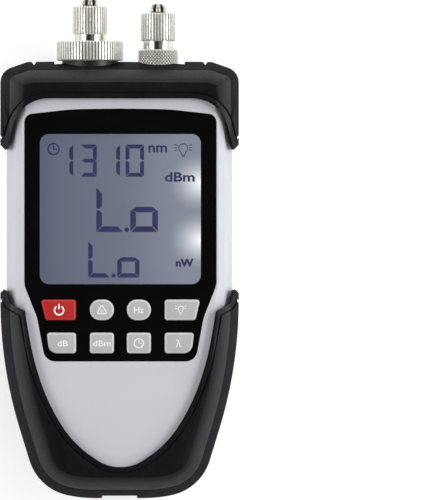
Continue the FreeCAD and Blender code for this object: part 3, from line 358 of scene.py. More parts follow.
@dataclass(frozen=True)
class Rubber(Finish):
    """Moulded rubber: near black with a fine stipple, satin on top, and a faint painted highlight, a lighter speckled
    colour, on its bevels that face left, right and towards the ports.
    """

    colour: Colour = (0.0055, 0.0055, 0.0075)
    worn: Colour = (0.013, 0.013, 0.016)
    # colour of the painted highlight on the bevels
    bevel_highlight: Colour = (0.22, 0.22, 0.225)
    roughness: float = 0.34
    stipple: float = 0.035
    stipple_scale: float = 1700.0
    satin: float = 0.42
    wall_satin: float = 0.08
    bevels: tuple[Colour, ...] = ((0.87, 0.0, 0.49), (-0.87, 0.0, 0.49), (0.0, 0.87, 0.49))
    # greatest share of the painted highlight, reached where a face turns fully to a bevel direction
    highlight_share: float = 0.05
    highlight_from: float = 0.84

    def material(self) -> bpy.types.Material:
        """Build the finish.

        Returns:
            A new material.
        """
        graph = self.graph()
        cloud = graph.noise(45, 5)
        smear = graph.noise(900, 4, (1, 0.25, 1))
        marks = graph.sums("MULTIPLY", graph.spread(cloud, 0, 1, 0.45, 0.75), smear)
        colour = graph.mixed(marks, self.colour, self.worn)
        speck = graph.spread(graph.noise(2600, 3), 0.45, 1.25, 0.35, 0.65)
        normal = graph.node("ShaderNodeNewGeometry").outputs["True Normal"]
        upright = graph.node("ShaderNodeSeparateXYZ", {0: normal}).outputs["Z"]
        share = graph.spread(upright, self.wall_satin, self.satin, 0.25, 0.45)
        # Painted highlight: faces turned towards one of the bevel directions are lightened towards the highlight
        # colour, with speckle.
        painted_highlight = None
        for way in self.bevels:
            facing = graph.node("ShaderNodeVectorMath", {0: normal, 1: way}, operation="DOT_PRODUCT")
            part = graph.sums("MULTIPLY", graph.spread(facing.outputs["Value"], 0, self.highlight_share, self.highlight_from, 1.0), speck)
            painted_highlight = part if painted_highlight is None else graph.sums("MAXIMUM", painted_highlight, part)
        colour = graph.mixed(painted_highlight, colour, self.bevel_highlight)
        rough = graph.spread(smear, self.roughness - 0.05, self.roughness + 0.07)
        fine = graph.bump(graph.cells(self.stipple_scale), self.stipple)
        soft = graph.bump(cloud, 0.12, fine)
        skin = graph.principled(Base_Color=colour, Roughness=rough, Normal=soft, Specular_IOR_Level=0.4)
        dull = graph.node("ShaderNodeBsdfDiffuse", {"Color": colour, "Normal": soft}).outputs[0]
        return graph.surface(graph.node("ShaderNodeMixShader", {0: share, 1: dull, 2: skin}).outputs[0])


@dataclass(frozen=True)
class Turned(Finish):
    """Bright nickel plate over turned metal, with the tool's fine rings across the port axis, and optionally painted
    shade that darkens the grooves as they deepen.
    """

    colour: Colour = (0.76, 0.745, 0.69)
    shade: Colour = (0.60, 0.58, 0.52)
    roughness: float = 0.13
    lines: float = 0.0012
    # colour of the painted shade at the bottom of a groove
    groove_shade: Optional[Colour] = None
    metallic: float = 1.0

    def material(self) -> bpy.types.Material:
        """Build the finish.

        Returns:
            A new material.
        """
        graph = self.graph()
        stain = graph.noise(500, 5)
        colour = graph.ramp(stain, [(0.35, self.shade), (0.6, self.colour)])
        # Painted shade: the colour darkens towards the groove shade colour as the cut deepens.
        if self.groove_shade:
            depth = graph.node("ShaderNodeAttribute", attribute_name="depth").outputs["Fac"]
            colour = graph.mixed(graph.spread(depth, 0, 1, 0.3, 0.9), colour, self.groove_shade)
        rings = graph.noise(700, 2, (0.2, 14, 0.2))
        rough = graph.spread(graph.noise(1500, 4), self.roughness - 0.06, self.roughness + 0.1)
        return graph.surface(graph.principled(
            Base_Color=colour, Roughness=rough, Normal=graph.bump(rings, self.lines), Metallic=self.metallic))


@dataclass(frozen=True)
class GlossPanel(Finish):
    """Glossy black moulded panel with faint dust and hairline wiping marks."""

    colour: Colour = (0.0022, 0.0022, 0.0024)

    def material(self) -> bpy.types.Material:
        """Build the finish.

        Returns:
            A new material.
        """
        graph = self.graph()
        dust = graph.spread(graph.noise(2400, 6), 0, 1, 0.62, 0.8)
        colour = graph.mixed(dust, self.colour, scaled(self.colour, 2.5))
        wipe = graph.noise(60, 4, (1, 5, 1))
        rough = graph.spread(wipe, 0.16, 0.26)
        return graph.surface(graph.principled(
            Base_Color=colour, Roughness=rough, Specular_IOR_Level=0.16,
            Normal=graph.bump(graph.noise(3500, 2), 0.0012)))


@dataclass(frozen=True)
class ClearWindow(Finish):
    """Clear acrylic: see-through face on, with a surface gloss that grows at a slant."""

    def material(self) -> bpy.types.Material:
        """Build the finish.

        Returns:
            A new material.
        """
        graph = self.graph()
        smudge = graph.noise(70, 4)
        rough = graph.spread(smudge, 0.02, 0.07)
        outward = graph.sums("SUBTRACT", 1.0, graph.node("ShaderNodeNewGeometry").outputs["Backfacing"])
        sheen = graph.sums("MULTIPLY", graph.node("ShaderNodeFresnel", {"IOR": 1.47}).outputs[0], outward)
        shine = graph.node("ShaderNodeBsdfGlossy", {"Color": (1, 1, 1, 1), "Roughness": rough})
        clear = graph.node("ShaderNodeBsdfTransparent", {"Color": (0.99, 0.99, 1, 1)})
        mix = graph.node("ShaderNodeMixShader", {0: sheen, 1: clear.outputs[0], 2: shine.outputs[0]})
        return graph.surface(mix.outputs[0])


@dataclass(frozen=True)
class BacklitDisplay(Finish):
    """The display's lit face: blue-grey, darker to the left, with two lamps glowing at its right edge."""

    half_width: float = 22.9
    low: float = -10.3
    high: float = 32.3
    left: Colour = srgb(97, 104, 124)
    middle: Colour = srgb(114, 120, 136)
    right: Colour = srgb(147, 153, 167)
    lamp: Colour = (1.0, 1.0, 1.0)
    lamp_gain: float = 1.3
    lamps: tuple[Point, ...] = ((23.3, 18.4), (23.3, 2.2))
    lamp_reach: float = 10.0
    squash: float = 1.15
    glow: float = 0.79

    def material(self) -> bpy.types.Material:
        """Build the finish.

        Returns:
            A new material.
        """
        graph = self.graph()
        parts = graph.node("ShaderNodeSeparateXYZ", {0: graph.place})
        across = graph.spread(parts.outputs["X"], 0, 1, -self.half_width * MM, self.half_width * MM)
        cloud = graph.spread(graph.noise(60, 3), -0.03, 0.03)
        colour = graph.ramp(graph.sums("ADD", across, cloud),
                            [(0.0, self.left), (0.5, self.middle), (0.95, self.right)])
        halo = None
        for x, y in self.lamps:
            centred = graph.node("ShaderNodeMapping", {
                "Vector": graph.place, "Location": (-x * MM, -y * MM * self.squash, 0), "Scale": (1, self.squash, 0)})
            away = graph.node("ShaderNodeVectorMath", {0: centred.outputs[0]}, operation="LENGTH").outputs["Value"]
            near = graph.spread(away, 1, 0, 0.5 * MM, self.lamp_reach * MM)
            bright = graph.sums("POWER", near, 1.5)
            halo = bright if halo is None else graph.sums("MAXIMUM", halo, bright)
        colour = graph.mixed(halo, colour, self.lamp)
        strength = graph.spread(halo, self.glow, self.glow * self.lamp_gain, 0.2, 1.0)
        return graph.surface(graph.principled(
            Base_Color=(0.03, 0.035, 0.045), Roughness=0.35, Emission_Color=colour,
            Emission_Strength=strength))


@dataclass(frozen=True)
class LiquidCrystal(Finish):
    """Dark navy display segments, slightly uneven as in a real cell."""

    colour: Colour = srgb(48, 48, 96)

    def material(self) -> bpy.types.Material:
        """Build the finish.

        Returns:
            A new material.
        """
        graph = self.graph()
        colour = graph.ramp(graph.noise(350, 3), [(0.35, scaled(self.colour, 0.72)),
                                                  (0.7, scaled(self.colour, 1.2))])
        return graph.surface(graph.principled(
            Base_Color=(0.006, 0.006, 0.02), Roughness=0.5, Emission_Color=colour, Emission_Strength=0.75))


@dataclass(frozen=True)
class SolderMask(Finish):
    """Green circuit board with copper runs under its mask."""

    mask: Colour = (0.01, 0.11, 0.04)
    run: Colour = (0.03, 0.24, 0.09)

    def material(self) -> bpy.types.Material:
        """Build the finish.

        Returns:
            A new material.
        """
        graph = self.graph()
        brick = graph.node("ShaderNodeTexBrick", {
            "Vector": graph.place, "Scale": 260.0, "Color1": (*self.mask, 1),
            "Color2": (*scaled(self.mask, 1.25), 1), "Mortar": (*self.run, 1), "Mortar Size": 0.03,
            "Brick Width": 0.9, "Row Height": 0.35})
        height = graph.bump(brick.outputs["Fac"], 0.02)
        rough = graph.spread(graph.noise(400, 3), 0.25, 0.4)
        return graph.surface(graph.principled(Base_Color=brick.outputs["Color"], Roughness=rough, Normal=height))


class Part(Enum):
    """Finishes that only scene pieces use, beside the record's own slots."""

    SEGMENT = "segment_ink"
    LEGEND = "key_legend"
    KNURLED = "knurled_nickel"
    PETAL = "petal_nickel"
    BLACKENED = "blackened_brass"


SILVER = srgb(203, 204, 210)
FINISHES: dict[str, Finish] = {
    "silver_plastic": Moulded("silver_plastic", SILVER, mottle=0.02, roughness=0.42, grain=0.006,
                              grain_scale=4200),
    "black_rubber": Rubber("black_rubber"),
    "black_panel": GlossPanel("black_panel"),
    "clear_window": ClearWindow("clear_window"),
    "display_glass": BacklitDisplay("display_glass"),
    "white_plastic": Moulded("white_plastic", (0.7, 0.7, 0.68), roughness=0.5),
    "light_guide": Moulded("light_guide", (0.75, 0.79, 0.86), roughness=0.2, grain=0.02, grain_scale=1500),
    "grey_silicone": Moulded("grey_silicone", (0.27, 0.27, 0.28), roughness=0.6),
    "circuit_board": SolderMask("circuit_board"),
    "chip_black": Moulded("chip_black", (0.02, 0.02, 0.022), roughness=0.5, grain=0.01),
    "screw_steel": Turned("screw_steel", (0.5, 0.5, 0.52), (0.36, 0.36, 0.38), roughness=0.28),
    "battery_case": Moulded("battery_case", (0.06, 0.06, 0.07), roughness=0.35, metallic=0.4),
    "contact_brass": Turned("contact_brass", (0.72, 0.55, 0.25), (0.5, 0.36, 0.14), roughness=0.25),
    "nickel": Turned("nickel"),
    "diode_steel": Turned("diode_steel", (0.62, 0.6, 0.55), (0.5, 0.47, 0.4), roughness=0.22),
    "ceramic": Moulded("ceramic", (0.85, 0.85, 0.8), mottle=0.02, roughness=0.2, grain=0.001),
    # The keys' rim colours are painted highlights on their sloping edges.
    "red_key": Moulded("red_key", srgb(178, 30, 30), mottle=0.05, roughness=0.42, grain=0.012,
                       rim=srgb(190, 48, 42)),
    "grey_key": Moulded("grey_key", srgb(183, 183, 184), mottle=0.03, roughness=0.42, grain=0.012,
                        rim=srgb(232, 232, 232)),
    Part.SEGMENT.value: LiquidCrystal("segment_ink"),
    Part.LEGEND.value: Moulded("key_legend", srgb(244, 244, 244), mottle=0.02, roughness=0.5),
    Part.KNURLED.value: Turned("knurled_nickel", (0.84, 0.825, 0.765), (0.77, 0.75, 0.68), roughness=0.30,
                               lines=0.0004, groove_shade=(0.08, 0.08, 0.06), metallic=0.38),
    Part.PETAL.value: Turned("petal_nickel", (0.62, 0.60, 0.53), (0.34, 0.32, 0.27), roughness=0.26,
                             groove_shade=(0.05, 0.047, 0.036), metallic=0.75),
    Part.BLACKENED.value: Moulded("blackened_brass", (0.022, 0.02, 0.018), roughness=0.4, grain=0.004,
                                  metallic=0.3),
}


class Palette:
    """Makes each finish's material once and hands it out by slot name."""

    def __init__(self) -> None:
        """Start with nothing made."""
        self.made: dict[str, bpy.types.Material] = {}

    def get(self, slot: str) -> bpy.types.Material:
        """Return the material of a slot or of a scene finish."""
        if slot not in self.made:
            self.made[slot] = FINISHES[slot].material()
        return self.made[slot]


# ---------------------------------------------------------------- shapes
def shade(mesh: bpy.types.Mesh, angle: float = 32.0) -> None:
    """Smooth a mesh's faces and keep the edges above an angle sharp.

    Args:
        mesh: the mesh.
        angle: degrees.
    """
    mesh.shade_smooth()
    mesh.set_sharp_from_angle(angle=math.radians(angle))


@dataclass
class Shop:
    """Holds what every sub-assembly needs: the frame, the palette and the node's slots."""

    frame: dict
    palette: Palette
    slots: dict[str, str] = field(default_factory=dict)

    def __post_init__(self) -> None:
        """Read each node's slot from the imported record."""
        for part in self.frame["record"]["subparts"]:
            self.slots[part["node"]] = part["material_slot"]

    def dress_node(self, node: str, angle: float = 32.0, finish: Optional[str] = None) -> bpy.types.Object:
        """Give a carried-over solid its finish and smooth shading.

        Args:
            node: its name.
            angle: edges sharper than this stay sharp, in degrees.
            finish: a scene finish, where the look isn't the slot's own.

        Returns:
            The node's object.
        """
        thing = self.frame["nodes"][node]
        thing.data.materials.clear()
        thing.data.materials.append(self.palette.get(finish or self.slots[node]))
        shade(thing.data, angle)
        return thing

    def keep(self, name: str, mesh: bpy.types.Mesh, body: str, slot: str, replaces: Sequence[str] = (),
             finish: Optional[str] = None, angle: float = 32.0) -> bpy.types.Object:
        """Turn a mesh into a finished piece that rides on a body.

        Args:
            name: the piece's name.
            mesh: its mesh, in the row frame.
            body: the body that it rides on.
            slot: the record's slot that it takes.
            replaces: solids that it stands for.
            finish: a scene finish, where the look isn't the slot's own.
            angle: edges sharper than this stay sharp, in degrees.

        Returns:
            The piece.
        """
        mesh.materials.clear()
        mesh.materials.append(self.palette.get(finish or slot))
        shade(mesh, angle)
        piece = bpy.data.objects.new(name, mesh)
        bpy.context.scene.collection.objects.link(piece)
        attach(piece, body)
        if replaces:
            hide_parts(*replaces)
        LOG.info("%s: %d faces on %s", name, len(mesh.polygons), body)
        return piece

    def welded(self, node: str) -> bmesh.types.BMesh:
        """Return a node's mesh as one welded surface with its flat faces joined up.

        Args:
            node: its name.

        Returns:
            An editable copy.
        """
        mesh = bmesh.new()
        mesh.from_mesh(self.frame["nodes"][node].data)
        bmesh.ops.remove_doubles(mesh, verts=mesh.verts, dist=2e-6)
        bmesh.ops.dissolve_limit(mesh, angle_limit=math.radians(0.4), verts=mesh.verts, edges=mesh.edges)
        return mesh

    def softened(self, name: str, node: str, body: str, width: float, low: float,
                 high: float) -> bpy.types.Object:
        """Stand in for a solid with a copy whose edges are rounded.

        Args:
            name: the piece's name.
            node: the solid.
            body: the body that it rides on.
            width: width of the rounding in millimetres.
            low, high: only edges folded by these many degrees are rounded.

        Returns:
            The piece.
        """
        mesh = self.welded(node)
        edges = [edge for edge in mesh.edges if len(edge.link_faces) == 2
                 and low <= math.degrees(edge.calc_face_angle(0.0)) <= high]
        bmesh.ops.bevel(mesh, geom=edges, offset=width * MM, segments=ROUNDING_FACES, profile=0.5,
                        affect="EDGES", clamp_overlap=True, offset_type="WIDTH")
        data = bpy.data.meshes.new(name)
        mesh.to_mesh(data)
        mesh.free()
        return self.keep(name, data, body, self.slots[node], [node], angle=40)


def ring_mesh(name: str, centre_x: float, centre_z: float, profile: Sequence[tuple[float, float, float]],
              count: int, cut: Callable[[float, float], float], closed: bool = True) -> bpy.types.Mesh:
    """Sweep a profile round a port axis, with a cut that varies round it.

    Args:
        name: the mesh's name.
        centre_x, centre_z: where the axis stands, in millimetres.
        profile: (y, radius, cut share) of each level, in millimetres.
        count: columns round the axis.
        cut: depth removed at (angle, y), in millimetres, scaled by each level's share.
        closed: joins the last level to the first, for a hollow piece.

    Returns:
        The mesh, in metres.
    """
    verts, faces, depths = [], [], []
    for y, radius, share in profile:
        for step in range(count):
            angle = TAU * step / count
            depth = share * cut(angle, y)
            # Share of the full cut, which sets how much painted shade this point of a groove gets.
            depths.append(min(1.0, depth / FULL_CUT))
            reach = radius - depth
            verts.append((MM * (centre_x + reach * math.sin(angle)), MM * y,
                          MM * (centre_z + reach * math.cos(angle))))
    levels = len(profile)
    for level in range(levels if closed else levels - 1):
        after = (level + 1) % levels
        for step in range(count):
            turn = (step + 1) % count
            faces.append((level * count + step, level * count + turn,
                          after * count + turn, after * count + step))
    if not closed:
        faces.append(tuple(range(count)))
        faces.append(tuple(reversed(range((levels - 1) * count, levels * count))))
    data = bpy.data.meshes.new(name)
    data.from_pydata(verts, [], faces)
    data.attributes.new("depth", "FLOAT", "POINT").data.foreach_set("value", depths)
    mesh = bmesh.new()
    mesh.from_mesh(data)
    bmesh.ops.remove_doubles(mesh, verts=mesh.verts, dist=1e-7)
    bmesh.ops.recalc_face_normals(mesh, faces=mesh.faces)
    mesh.to_mesh(data)
    mesh.free()
    return data


def loop_mesh(name: str, path: Sequence[Vector], radius: float, sides: int) -> bpy.types.Mesh:
    """Sweep a round section along a closed path.

    Args:
        name: the mesh's name.
        path: points in metres.
        radius: in metres.
        sides: faces round the section.

    Returns:
        The mesh.
    """
    mesh = bmesh.new()
    rings = []
    count = len(path)
    normal = None
    for index, point in enumerate(path):
        along = (path[(index + 1) % count] - path[index - 1]).normalized()
        if normal is None:
            normal = along.orthogonal().normalized()
        normal = (normal - along * normal.dot(along)).normalized()
        other = along.cross(normal)
        rings.append([mesh.verts.new(point + radius * (math.cos(TAU * side / sides) * normal
                                                       + math.sin(TAU * side / sides) * other))
                      for side in range(sides)])
    for index in range(count):
        first, second = rings[index], rings[(index + 1) % count]
        shift = 0
        if index == count - 1:
            shift = min(range(sides), key=lambda s: (second[s].co - first[0].co).length)
        for side in range(sides):
            turn = (side + 1) % sides
            mesh.faces.new((first[side], first[turn],
                            second[(turn + shift) % sides], second[(side + shift) % sides]))
    bmesh.ops.recalc_face_normals(mesh, faces=mesh.faces)
    data = bpy.data.meshes.new(name)
    mesh.to_mesh(data)
    mesh.free()
    return data


def evened(path: list[Vector], step: float) -> list[Vector]:
    """Space a path's points evenly and relax its kinks once.

    Args:
        path: points in metres.
        step: spacing in metres.

    Returns:
        The new points.
    """
    lengths = [0.0]
    for first, second in zip(path, path[1:]):
        lengths.append(lengths[-1] + (second - first).length)
    count = max(3, round(lengths[-1] / step))
    points, index = [], 0
    for number in range(count + 1):
        reach = lengths[-1] * number / count
        while index < len(path) - 2 and lengths[index + 1] < reach:
            index += 1
        span = lengths[index + 1] - lengths[index] or 1.0
        points.append(path[index].lerp(path[index + 1], (reach - lengths[index]) / span))
    inner = [(before + 2 * point + after) / 4 for before, point, after in zip(points, points[1:], points[2:])]
    return [points[0]] + inner + [points[-1]]


def chained(pairs: Iterable[tuple[int, int]]) -> list[list[int]]:
    """Join edges end to end.

    Args:
        pairs: the two ends of each edge.

    Returns:
        Runs of point numbers, longest first.
    """
    beside: dict[int, list[int]] = {}
    for first, second in pairs:
        beside.setdefault(first, []).append(second)
        beside.setdefault(second, []).append(first)
    runs, used = [], set()
    for start in sorted(beside, key=lambda point: (len(beside[point]) == 2, point)):
        if start in used:
            continue
        run, here = [start], start
        used.add(start)
        while True:
            ahead = [point for point in beside[here] if point not in used]
            if not ahead:
                break
            here = ahead[0]
            used.add(here)
            run.append(here)
        if start in beside[here] and len(run) > 2:
            run.append(start)
        runs.append(run)
    return sorted(runs, key=len, reverse=True)


class Marks:
    """Thin printed marks on a flat face, drawn in millimetres."""

    def __init__(self, height: float, thickness: float) -> None:
        """Start with nothing drawn.

        Args:
            height: the face that they lie on.
            thickness: how far they stand up.
        """
        self.mesh = bmesh.new()
        self.height = height
        self.thickness = thickness

    def fill(self, points: Sequence[Point]) -> None:
        """Add a filled shape.

        Args:
            points: its corners, in order.
        """
        low = [self.mesh.verts.new((x * MM, y * MM, self.height * MM)) for x, y in points]
        high = [self.mesh.verts.new((x * MM, y * MM, (self.height + self.thickness) * MM)) for x, y in points]
        self.mesh.faces.new(high)
        self.mesh.faces.new(list(reversed(low)))
        for index in range(len(points)):
            after = (index + 1) % len(points)
            self.mesh.faces.new((low[index], low[after], high[after], high[index]))

    def stroke(self, points: Sequence[Point], width: float) -> None:
        """Add straight strokes.

        Args:
            points: the ends of the strokes, in order.
            width: of each stroke.
        """
        for (x0, y0), (x1, y1) in zip(points, points[1:]):
            length = math.hypot(x1 - x0, y1 - y0)
            ux, uy = (x1 - x0) / length, (y1 - y0) / length
            end = width * 0.35
            nx, ny = -uy * width / 2, ux * width / 2
            x0, y0, x1, y1 = x0 - ux * end, y0 - uy * end, x1 + ux * end, y1 + uy * end
            self.fill([(x0 - nx, y0 - ny), (x1 - nx, y1 - ny), (x1 + nx, y1 + ny), (x0 + nx, y0 + ny)])

    def arc(self, centre: Point, radius: float, width: float, start: float = 0.0, end: float = 360.0) -> None:
        """Add a curved stroke.

        Args:
            centre: its middle.
            radius: to the middle of the stroke.
            width: of the stroke.
            start, end: degrees anticlockwise from +x.
        """
        steps = max(6, int(abs(end - start) / 15))
        whole = abs(end - start) >= 360
        stops = range(steps + (0 if whole else 1))
        angles = [math.radians(start + (end - start) * step / steps) for step in stops]
        inner, outer = radius - width / 2, radius + width / 2

        def at(reach: float, angle: float) -> Point:
            """Return the point at a reach and an angle from the centre."""
            return (centre[0] + reach * math.cos(angle), centre[1] + reach * math.sin(angle))

        count = len(angles)
        for index in range(count if whole else count - 1):
            first, second = angles[index], angles[(index + 1) % count]
            self.fill([at(inner, first), at(outer, first), at(outer, second), at(inner, second)])

    def disc(self, centre: Point, radius: float) -> None:
        """Add a filled disc."""
        angles = [TAU * step / 20 for step in range(20)]
        self.fill([(centre[0] + radius * math.cos(angle), centre[1] + radius * math.sin(angle)) for angle in angles])

    def text(self, words: str, centre: Point, width: float, height: float, weight: float = 0.0) -> None:
        """Add lettering fitted to a width and height.

        Args:
            words: units or a symbol.
            centre: the middle of the lettering.
            width, height: its size.
            weight: how far its strokes are thickened.
        """
        curve = bpy.data.curves.new("lettering", "FONT")
        curve.body = words
        curve.size = 0.01
        curve.offset = weight * 0.0002
        curve.resolution_u = 3
        thing = bpy.data.objects.new("lettering", curve)
        bpy.context.scene.collection.objects.link(thing)
        bpy.context.view_layer.update()
        flat = bpy.data.meshes.new_from_object(thing)
        bpy.data.objects.remove(thing)
        bpy.data.curves.remove(curve)
        points = [vert.co for vert in flat.vertices]
        low_x, high_x = min(p.x for p in points), max(p.x for p in points)
        low_y, high_y = min(p.y for p in points), max(p.y for p in points)
        for polygon in flat.polygons:
            corners = [points[index] for index in polygon.vertices]
            self.fill([(centre[0] + width * ((p.x - low_x) / (high_x - low_x) - 0.5),
                        centre[1] + height * ((p.y - low_y) / (high_y - low_y) - 0.5)) for p in corners])
        bpy.data.meshes.remove(flat)

    def finished(self, name: str) -> bpy.types.Mesh:
        """Close the drawing.

        Args:
            name: the mesh's name.

        Returns:
            Everything drawn, as one mesh.
        """
        bmesh.ops.recalc_face_normals(self.mesh, faces=self.mesh.faces)
        data = bpy.data.meshes.new(name)
        self.mesh.to_mesh(data)
        self.mesh.free()
        return data


# ---------------------------------------------------------------- sub-assemblies
@dataclass
class Housing:
    """The two silver case halves and the raised lip round the panel's recess."""

    shop: Shop
    lip_radius: float = 0.3
    lip_gap: float = 0.42
    lip_sink: float = 0.02
    lip_sides: int = 12
    lip_step: float = 0.8

    def build(self) -> None:
        """Dress the halves and add the lip."""
        self.shop.dress_node("front_housing")
        self.shop.dress_node("rear_housing")
        lip = loop_mesh("panel_lip", self.lip_path(), self.lip_radius * MM, self.lip_sides)
        self.shop.keep("panel_lip", lip, "case", "silver_plastic", angle=60)

    def lip_path(self) -> list[Vector]:
        """Follow the panel's outline a little outside it, sunk into the housing.

        Returns:
            The path's points, in metres.
        """
        mesh = self.shop.welded("control_panel")
        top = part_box("control_panel")[1].z
        pairs, rim = [], {}
        for edge in mesh.edges:
            if len(edge.link_faces) != 2 or min(vert.co.z for vert in edge.verts) < top - 0.02 * MM:
                continue
            if edge.calc_face_angle(0.0) < math.radians(60):
                continue
            pairs.append((edge.verts[0].index, edge.verts[1].index))
            for vert in edge.verts:
                rim[vert.index] = vert.co.copy()
        mesh.free()
        run = max(chained(pairs), key=lambda found: max(rim[index].x for index in found))
        path = evened([rim[index] for index in run], self.lip_step * MM)[:-1]
        middle = sum(path, Vector()) / len(path)
        moved = []
        for index, point in enumerate(path):
            along = path[(index + 1) % len(path)] - path[index - 1]
            out = Vector((along.y, -along.x, 0)).normalized()
            if out.dot(point - middle) < 0:
                out = -out
            moved.append(point + out * self.lip_gap * MM + Vector((0, 0, -self.lip_sink * MM)))
        return moved


@dataclass
class Bumpers:
    """The rubber hood and boot, every moulded edge of them rounded."""

    shop: Shop
    edge: float = 0.4
    fold_low: float = 24.0
    fold_high: float = 150.0

    def build(self) -> None:
        """Round both ends' edges."""
        for node in ("upper_bumper", "lower_bumper"):
            self.shop.softened(f"{node}_skin", node, "case", self.edge, self.fold_low, self.fold_high)


@dataclass
class Display:
    """The window, the lit display and what it reads."""

    shop: Shop
    lift: float = 0.03

    def build(self) -> None:
        """Dress the display's layers and draw its segments."""
        for node in ("lcd_window", "lcd_glass", "lcd_frame", "backlight_guide", "connector_strips"):
            self.shop.dress_node(node)
        self.shop.keep("display_reading", self.reading(), "case", "display_glass", finish=Part.SEGMENT.value)

    def reading(self) -> bpy.types.Mesh:
        """Draw the segments and symbols of a wavelength and two low readings.

        Returns:
            One mesh of them all.
        """
        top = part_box("lcd_glass")[1].z / MM
        marks = Marks(top, self.lift)
        for segments, left, right, low, high, thick in (
                ("bc", -17.9, -13.35, 20.15, 29.3, 1.12), ("abcdg", -11.3, -6.65, 20.15, 29.3, 1.12),
                ("bc", -4.65, -0.05, 20.15, 29.3, 1.12), ("abcdef", 1.5, 6.75, 20.15, 29.3, 1.12),
                ("def", -6.8, 0.9, 4.45, 17.2, 1.6), ("cdeg", 2.85, 10.7, 4.45, 17.2, 1.6),
                ("def", -9.1, -2.85, -8.5, 1.85, 1.25), ("cdeg", -0.85, 5.45, -8.5, 1.85, 1.25)):
            for letter in segments:
                marks.fill(self.segment(letter, left, right, low, high, thick))
        marks.disc((1.86, 5.1), 0.68)
        marks.disc((-1.9, -7.9), 0.6)
        marks.text("nm", (10.65, 28.05), 5.3, 2.05, 1.2)
        marks.text("dBm", (16.9, 20.1), 8.5, 2.7, 1.2)
        marks.text("nW", (18.3, -4.3), 5.1, 2.3, 2.4)
        marks.arc((-18.95, 28.0), 1.55, 0.42)
        marks.stroke([(-18.95, 29.0), (-18.95, 27.95), (-18.1, 27.95)], 0.34)
        marks.arc((17.9, 28.25), 1.25, 0.22, -50, 230)
        marks.stroke([(17.15, 27.3), (17.4, 26.5)], 0.22)
        marks.stroke([(18.65, 27.3), (18.4, 26.5)], 0.22)
        marks.stroke([(17.5, 26.3), (18.3, 26.3)], 0.24)
        marks.stroke([(17.6, 25.95), (18.2, 25.95)], 0.24)
        for side in (-1, 1):
            for rise, start in ((0.0, 1.75), (0.75, 1.7), (-0.7, 1.7)):
                marks.stroke([(17.9 + side * start, 28.4 + rise * 0.8),
                              (17.9 + side * (start + 0.75), 28.4 + rise * 1.25)], 0.2)
        return marks.finished("display_reading")

    @staticmethod
    def segment(letter: str, left: float, right: float, low: float, high: float, thick: float) -> list[Point]:
        """Work out one segment of a seven-segment figure.

        Args:
            letter: a to g, in the usual order.
            left, right, low, high: the figure's box in millimetres.
            thick: the segment's width.

        Returns:
            Its corners.
        """
        gap = thick * 0.1
        mid = (low + high) / 2
        half = thick / 2
        if letter == "a":
            return [(left + gap, high), (left + thick + gap * 0.4, high - thick),
                    (right - thick - gap * 0.4, high - thick), (right - gap, high)]
        if letter == "d":
            return [(left + gap, low), (right - gap, low), (right - thick - gap * 0.4, low + thick),
                    (left + thick + gap * 0.4, low + thick)]
        if letter == "g":
            return [(left + gap + half * 0.4, mid), (left + gap + thick, mid - half),
                    (right - gap - thick, mid - half), (right - gap - half * 0.4, mid),
                    (right - gap - thick, mid + half), (left + gap + thick, mid + half)]
        upper = letter in "bf"
        outer = right if letter in "bc" else left
        inner = outer - thick if letter in "bc" else outer + thick
        start, end = (mid + gap, high - gap) if upper else (mid - gap, low + gap)
        sign = 1 if upper else -1
        return [(outer, start + sign * half * 0.2), ((outer + inner) / 2, start), (inner, start + sign * half),
                (inner, end - sign * thick), (outer, end)]


